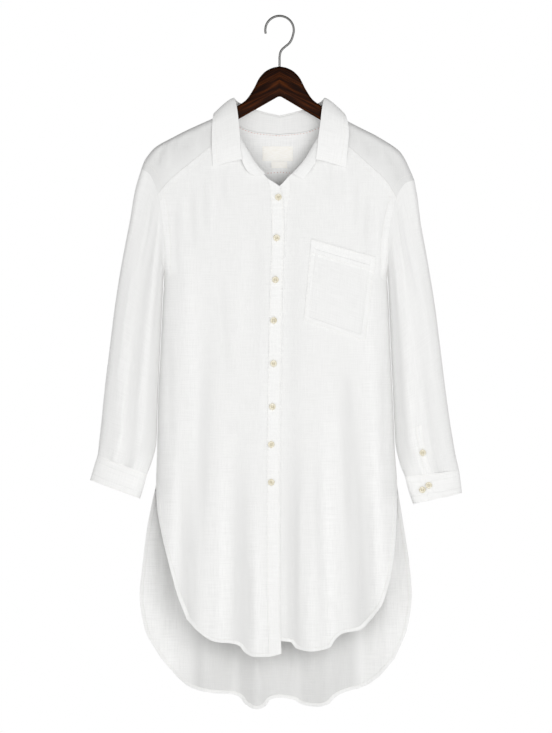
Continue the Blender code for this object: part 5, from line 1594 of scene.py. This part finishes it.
def beside(line, gap):  # the line moved sideways within the sheet
    run = np.gradient(line, axis=0)
    way = np.stack([-run[:, 1], run[:, 0]], axis=1) / np.linalg.norm(run, axis=1, keepdims=True)
    return line + way * gap


def raised(grid, way, lift):  # a grid of a sheet's points, moved out of the sheet
    points, faces = grid.reshape(-1, 3), gridFaces(*grid.shape[:2])
    normals = vertexNormals(points, faces)
    if (normals * way(points)).sum() < 0:
        normals = -normals
    return (points + normals * lift).reshape(grid.shape)


def sampled(grid, rows, columns):  # points at fractional places of a grid
    rows, columns = np.broadcast_arrays(np.asarray(rows, float), np.asarray(columns, float))
    j = np.clip(rows.astype(int), 0, len(grid) - 2)
    i = np.clip(columns.astype(int), 0, grid.shape[1] - 2)
    t, u = (rows - j)[..., None], (columns - i)[..., None]
    upper = grid[j, i] * (1 - u) + grid[j, i + 1] * u
    lower = grid[j + 1, i] * (1 - u) + grid[j + 1, i + 1] * u
    return upper * (1 - t) + lower * t


def framed(grid, gap, near=4):  # down one end of a grid, along its last column and back up the other end
    # The cells' own size, over a few cells near each corner, turns the gap into places on the grid
    rows, columns = grid.shape[0] - 1, grid.shape[1] - 1
    wide = np.linalg.norm(np.diff(grid, axis=1), axis=2).sum(axis=1) / columns
    long = np.linalg.norm(np.diff(grid, axis=0), axis=2)
    last = columns - gap / wide
    first, final = long[:near].mean(axis=0), long[-near:].mean(axis=0)
    ends = (gap / np.maximum(first, 0.2), rows - gap / np.maximum(final, 0.2))
    places = np.arange(columns + 1)
    a, b = places <= last[near - 1], places <= last[-near]
    edge = np.arange(math.ceil(ends[0][-1]), math.floor(ends[1][-1]) + 1)
    return np.vstack([
        sampled(grid, ends[0][a], places[a]), sampled(grid, edge, last[edge]),
        sampled(grid, ends[1][b], places[b])[::-1],
    ])


def onBody(face, line, lift, place=None):
    start, end = (int(share * len(line)) for share in stitchForm["ends"])
    line = line[start:end]
    points = (place or (lambda x, drop: bodyPoints(face, x, drop)))(line[:, 0], line[:, 1])
    points[:, 1] += face * lift
    return points


def bodyStitches():
    form, paths = stitchForm, []
    proud, gaps = form["proud"], (form["inEdge"], form["allowance"])
    for side in bothSides:
        place = frontPoints if side == rightSide else leftFrontPoints
        edge, armhole = frontGrid(side)[1:]
        upper = armholeRows(side, form["armholeSteps"], 2)[0]
        paths.append(onBody(frontFace, beside(edge, side * form["hem"]), proud, place))
        paths.append(onBody(frontFace, beside(armhole, side * form["allowance"]), proud, place))
        paths.append(onBody(backFace, beside(armhole, side * form["allowance"]), proud))
        upperLine = beside(upper, side * form["allowance"])
        paths += [onBody(face, upperLine, proud) for face in (frontFace, backFace)]
        seam = edgeOf(frontPanels["seam"], side, evenly(form["lineSteps"]))
        paths += [onBody(frontFace, beside(seam, side * gap), proud) for gap in gaps]
    behind = backSeam(backPanel["seamSteps"])
    paths += [onBody(backFace, beside(behind, -gap), proud) for gap in gaps]
    hem = beside(backGrid()[1], -form["hem"])
    paths += [onBody(backFace, hem, lift) for lift in (proud, -bodyForm["cloth"] - proud)]
    return paths


def trimStitches():
    form, proud = stitchForm, stitchForm["proud"]
    grid = frontGrid(rightSide)[0][:, -frontPanels["bandSteps"] - 1 :]
    band = frontPoints(grid[..., 0], grid[..., 1])
    band = raised(band, facing(frontFace), bodyForm["cloth"] + layerGap + proud)
    inEdge = form["inEdge"] / (frontPanels["band"] / frontPanels["bandSteps"])
    rows = np.arange(1.0, len(band) - 1)
    paths = [sampled(band, rows, column) for column in (inEdge, band.shape[1] - 1 - inEdge)]
    paths.append(framed(raised(leafGrid, overTop, proud), form["collar"]))
    pocket = raised(pocketGrid, facing(frontFace), proud)
    paths.append(framed(pocket.transpose(1, 0, 2), form["inEdge"]))
    folded = pocketGrid[: pocketCut["hemRows"]]
    hem = raised(folded, facing(frontFace), pocketCut["layer"] + pocketCut["hemLift"] + proud)
    places = np.linspace(form["pocketHemIn"], hem.shape[1] - 1 - form["pocketHemIn"], form["pocketHemSteps"])
    paths += [sampled(hem, row, places) for row in form["pocketHem"]]
    for side in bothSides:
        face = frontFace if side == leftSide else backFace
        placket = raised(sleevePlackets[side][1], facing(face), sleevePlacket["layer"] + layerGap + proud)
        paths.append(framed(placket.transpose(1, 0, 2)[:, ::-1], form["inEdge"]))
        cuff = cuffForm
        last = cuff["edge"] + 2 * np.pi
        angles = np.linspace(cuff["edge"] - cuff["under"], last, form["cuffSteps"])
        high = 2 * form["cuff"] / cuff["tall"]
        closing = np.array([last - form["cuff"] / cuff["reach"]])
        runs = [(np.array([row]), angles) for row in (high, 2 - high)]
        runs.append((np.linspace(high, 2 - high, form["closingSteps"]), closing))
        for run in runs:
            line, middle, outside = cuffGrid(side, *run)
            paths.append((line + outside * proud).reshape(-1, 3))
    label = raised(labelGrid, facing(frontFace), proud)
    rows, ends = np.arange(1.0, len(label) - 1), (form["labelIn"], label.shape[1] - 1 - form["labelIn"])
    paths += [sampled(label, rows, column) for column in ends]
    return paths


def pinkPaths():
    form = stitchForm
    rows = np.linspace(form["neckFrom"], collarForm["backRow"], form["neckSteps"])
    inside, below = -bodyForm["cloth"] - form["proud"], np.array([0, form["pinkIn"]])
    neck = np.vstack([neckline(rightSide, rows), neckline(leftSide, rows)[-2::-1]])
    lines = (neck + below, backSeam(backPanel["seamSteps"]) - below)
    return [onBody(backFace, line, inside) for line in lines]


def buttonRing(place, x, y, drop, face, level):  # the worked edge of a buttonhole, which the button covers
    wide, long = stitchForm["holeHalf"]
    angle = np.linspace(0, 2 * np.pi, 61)
    thin, tall = wide * np.clip(stitchForm["holeSquare"] * np.cos(angle), -1, 1), long * np.sin(angle)
    around = (x + (tall if level else thin), drop + (thin if level else tall))
    points = place(*around)
    points[:, 1] += face * stitchForm["holeProud"]
    return points


def threadBars(x, y, drop, face):  # two bars of thread between the four holes
    gap = buttonForm["holeGap"]
    high = y + face * (buttonForm["thick"] - stitchForm["threadSunk"])
    return [[(x + way * gap, high, -drop + t * gap) for t in np.linspace(-1, 1, 5)] for way in (-1, 1)]


tree = stitchTree()
stitched("whiteStitches", bodyStitches() + trimStitches(), whiteThread, tree)
stitched("pinkStitches", pinkPaths(), pinkThread, tree)
stitched("buttonholes", [buttonRing(*spot) for spot in buttonSpots], whiteThread, tree)
stitched("buttonThreads", [bar for spot in buttonSpots for bar in threadBars(*spot[1:5])], creamThread, tree)


# Each cloth piece's flat cut and what it is sewn to or lies on: all of it hangs on the one body
clothCuts = {  # width and length of the flat cut, and its own area where it isn't a rectangle
    "frontRight": (0.245, 0.83, 0.168), "frontLeft": (0.265, 0.83, 0.172),
    "backPanel": (0.47, 0.92, 0.385), "yokePanel": (0.49, 0.2, 0.066),
    "sleeveRight": (0.2, 0.54, 0.09), "sleeveLeft": (0.2, 0.52, 0.085),
    "cuffRight": (0.23, 0.048, None), "cuffLeft": (0.24, 0.045, None),
    "collarStand": (0.4, 0.028, None), "collarLeaf": (0.45, 0.05, None),
    "placketRight": (0.021, 0.8, None), "placketLeft": (0.021, 0.8, None),
    "pocketBody": (0.113, 0.145, None), "pocketHem": (0.113, 0.024, None),
    "sleevePlacketRight": (0.016, 0.062, None), "sleevePlacketLeft": (0.016, 0.068, None),
    "neckLabel": (0.052, 0.025, None), "sizeTab": (0.027, 0.0114, None),
}
clothHolders = {  # what each cloth is sewn to or lies on
    "yokePanel": ["hanger_wood"], "frontRight": ["yokePanel"], "frontLeft": ["yokePanel"],
    "backPanel": ["yokePanel"], "sleeveRight": ["yokePanel"], "sleeveLeft": ["yokePanel"],
    "cuffRight": ["sleeveRight"], "cuffLeft": ["sleeveLeft"], "collarStand": ["yokePanel"],
    "collarLeaf": ["collarStand"], "placketRight": ["frontRight"], "placketLeft": ["frontLeft"],
    "pocketBody": ["frontLeft"], "pocketHem": ["pocketBody"], "sleevePlacketRight": ["sleeveRight"],
    "sleevePlacketLeft": ["sleeveLeft"], "neckLabel": ["yokePanel"], "sizeTab": ["neckLabel"],
}


def clothArea(piece):
    return sum(polygon.area for polygon in piece.data.polygons) / 2


for name, (width, length, area) in clothCuts.items():
    print("cloth", name, round(clothArea(pieces[name]), 5), "of", area or round(width * length, 5))
for name, piece in pieces.items():
    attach(piece, "root")
for piece, slot in ((woodenHanger, "stained_wood"), (steelHook, "steel_wire")):
    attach(piece, "root")
for name, (width, length, area) in clothCuts.items():
    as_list(clothHolders[name])


# Camera, light and floor
studio = {
    "cameraAway": 8.0, "middleX": -0.006, "middleZ": -0.594, "frameHigh": 1.246, "sensor": 36.0,
    "floorDown": 1.5, "floorWide": 1.2, "floorSides": 96,
    "sky": 1.0, "above": 0.25, "skyFall": (0.21, 0.6),     # it falls off overhead, between these heights
    "skySide": 0.3,        # and is dimmed on the camera's side, over this much either way of the middle
    "softboxes": {  # place, width and power
        "key": ((0.8, -2.8, -0.5), 2.0, 40.0), "fill": ((-1.1, -2.9, -0.75), 2.0, 19.0),
        "back": ((-0.7, 2.8, -0.6), 2.0, 26.0),
    },
    "skyBefore": 0.6,      # share of the sky's light on the camera's side
    "bounces": 8,
}


def makeStudio():
    scene, look = bpy.context.scene, studio
    data = bpy.data.cameras.new("camera")
    data.sensor_fit, data.sensor_height, data.sensor_width = "VERTICAL", look["sensor"], look["sensor"]
    data.lens = look["sensor"] * look["cameraAway"] / look["frameHigh"]
    camera = bpy.data.objects.new("camera", data)
    camera.location = (look["middleX"], -look["cameraAway"], look["middleZ"])
    camera.rotation_euler = (math.pi / 2, 0, 0)
    scene.collection.objects.link(camera)
    scene.camera = camera

    world = bpy.data.worlds.new("studioWorld")
    world.use_nodes = True
    scene.world = world
    tree = world.node_tree
    place = addNode(tree, "ShaderNodeTexCoord").outputs["Generated"]
    way = addNode(tree, "ShaderNodeSeparateXYZ", None, {0: place}).outputs
    ramps = (
        (way[2], *look["skyFall"], look["sky"], look["above"]),
        (way[1], -look["skySide"], look["skySide"], look["skyBefore"], 1.0),
    )
    names = ("Value", "From Min", "From Max", "To Min", "To Max")
    shares = [addNode(tree, "ShaderNodeMapRange", None, dict(zip(names, ramp))).outputs[0] for ramp in ramps]
    strength = addNode(tree, "ShaderNodeMath", {"operation": "MULTIPLY"}, {0: shares[0], 1: shares[1]})
    tree.links.new(strength.outputs[0], tree.nodes["Background"].inputs["Strength"])
    tree.nodes["Background"].inputs["Color"].default_value = (1, 1, 1, 1)

    for name, (spot, size, power) in look["softboxes"].items():
        light = bpy.data.lights.new(name, "AREA")
        light.shape, light.size, light.energy = "DISK", size, power
        softbox = bpy.data.objects.new(name, light)
        softbox.location = spot
        aim = Vector((0, 0, look["middleZ"])) - softbox.location
        softbox.rotation_euler = aim.to_track_quat("-Z", "Y").to_euler()
        scene.collection.objects.link(softbox)

    mesh = bpy.data.meshes.new("floor")
    ring = [
        (look["floorWide"] * math.cos(a), look["floorWide"] * math.sin(a), -look["floorDown"])
        for a in np.linspace(0, 2 * np.pi, look["floorSides"], endpoint=False)
    ]
    mesh.from_pydata(ring, [], [tuple(range(look["floorSides"]))])
    # Matt paper roll: a pale ground with no shine
    paper = finishMaterial("palePaperFloor", "#f4f4f3", "#f2f2f1", 60.0, 60.0, "#f8f8f7", {"Roughness": 0.9})
    mesh.materials.append(paper)
    floor = bpy.data.objects.new("floor", mesh)
    scene.collection.objects.link(floor)
    scene.view_settings.view_transform = "Standard"
    scene.cycles.diffuse_bounces = look["bounces"]


makeStudio()
print("studio made")
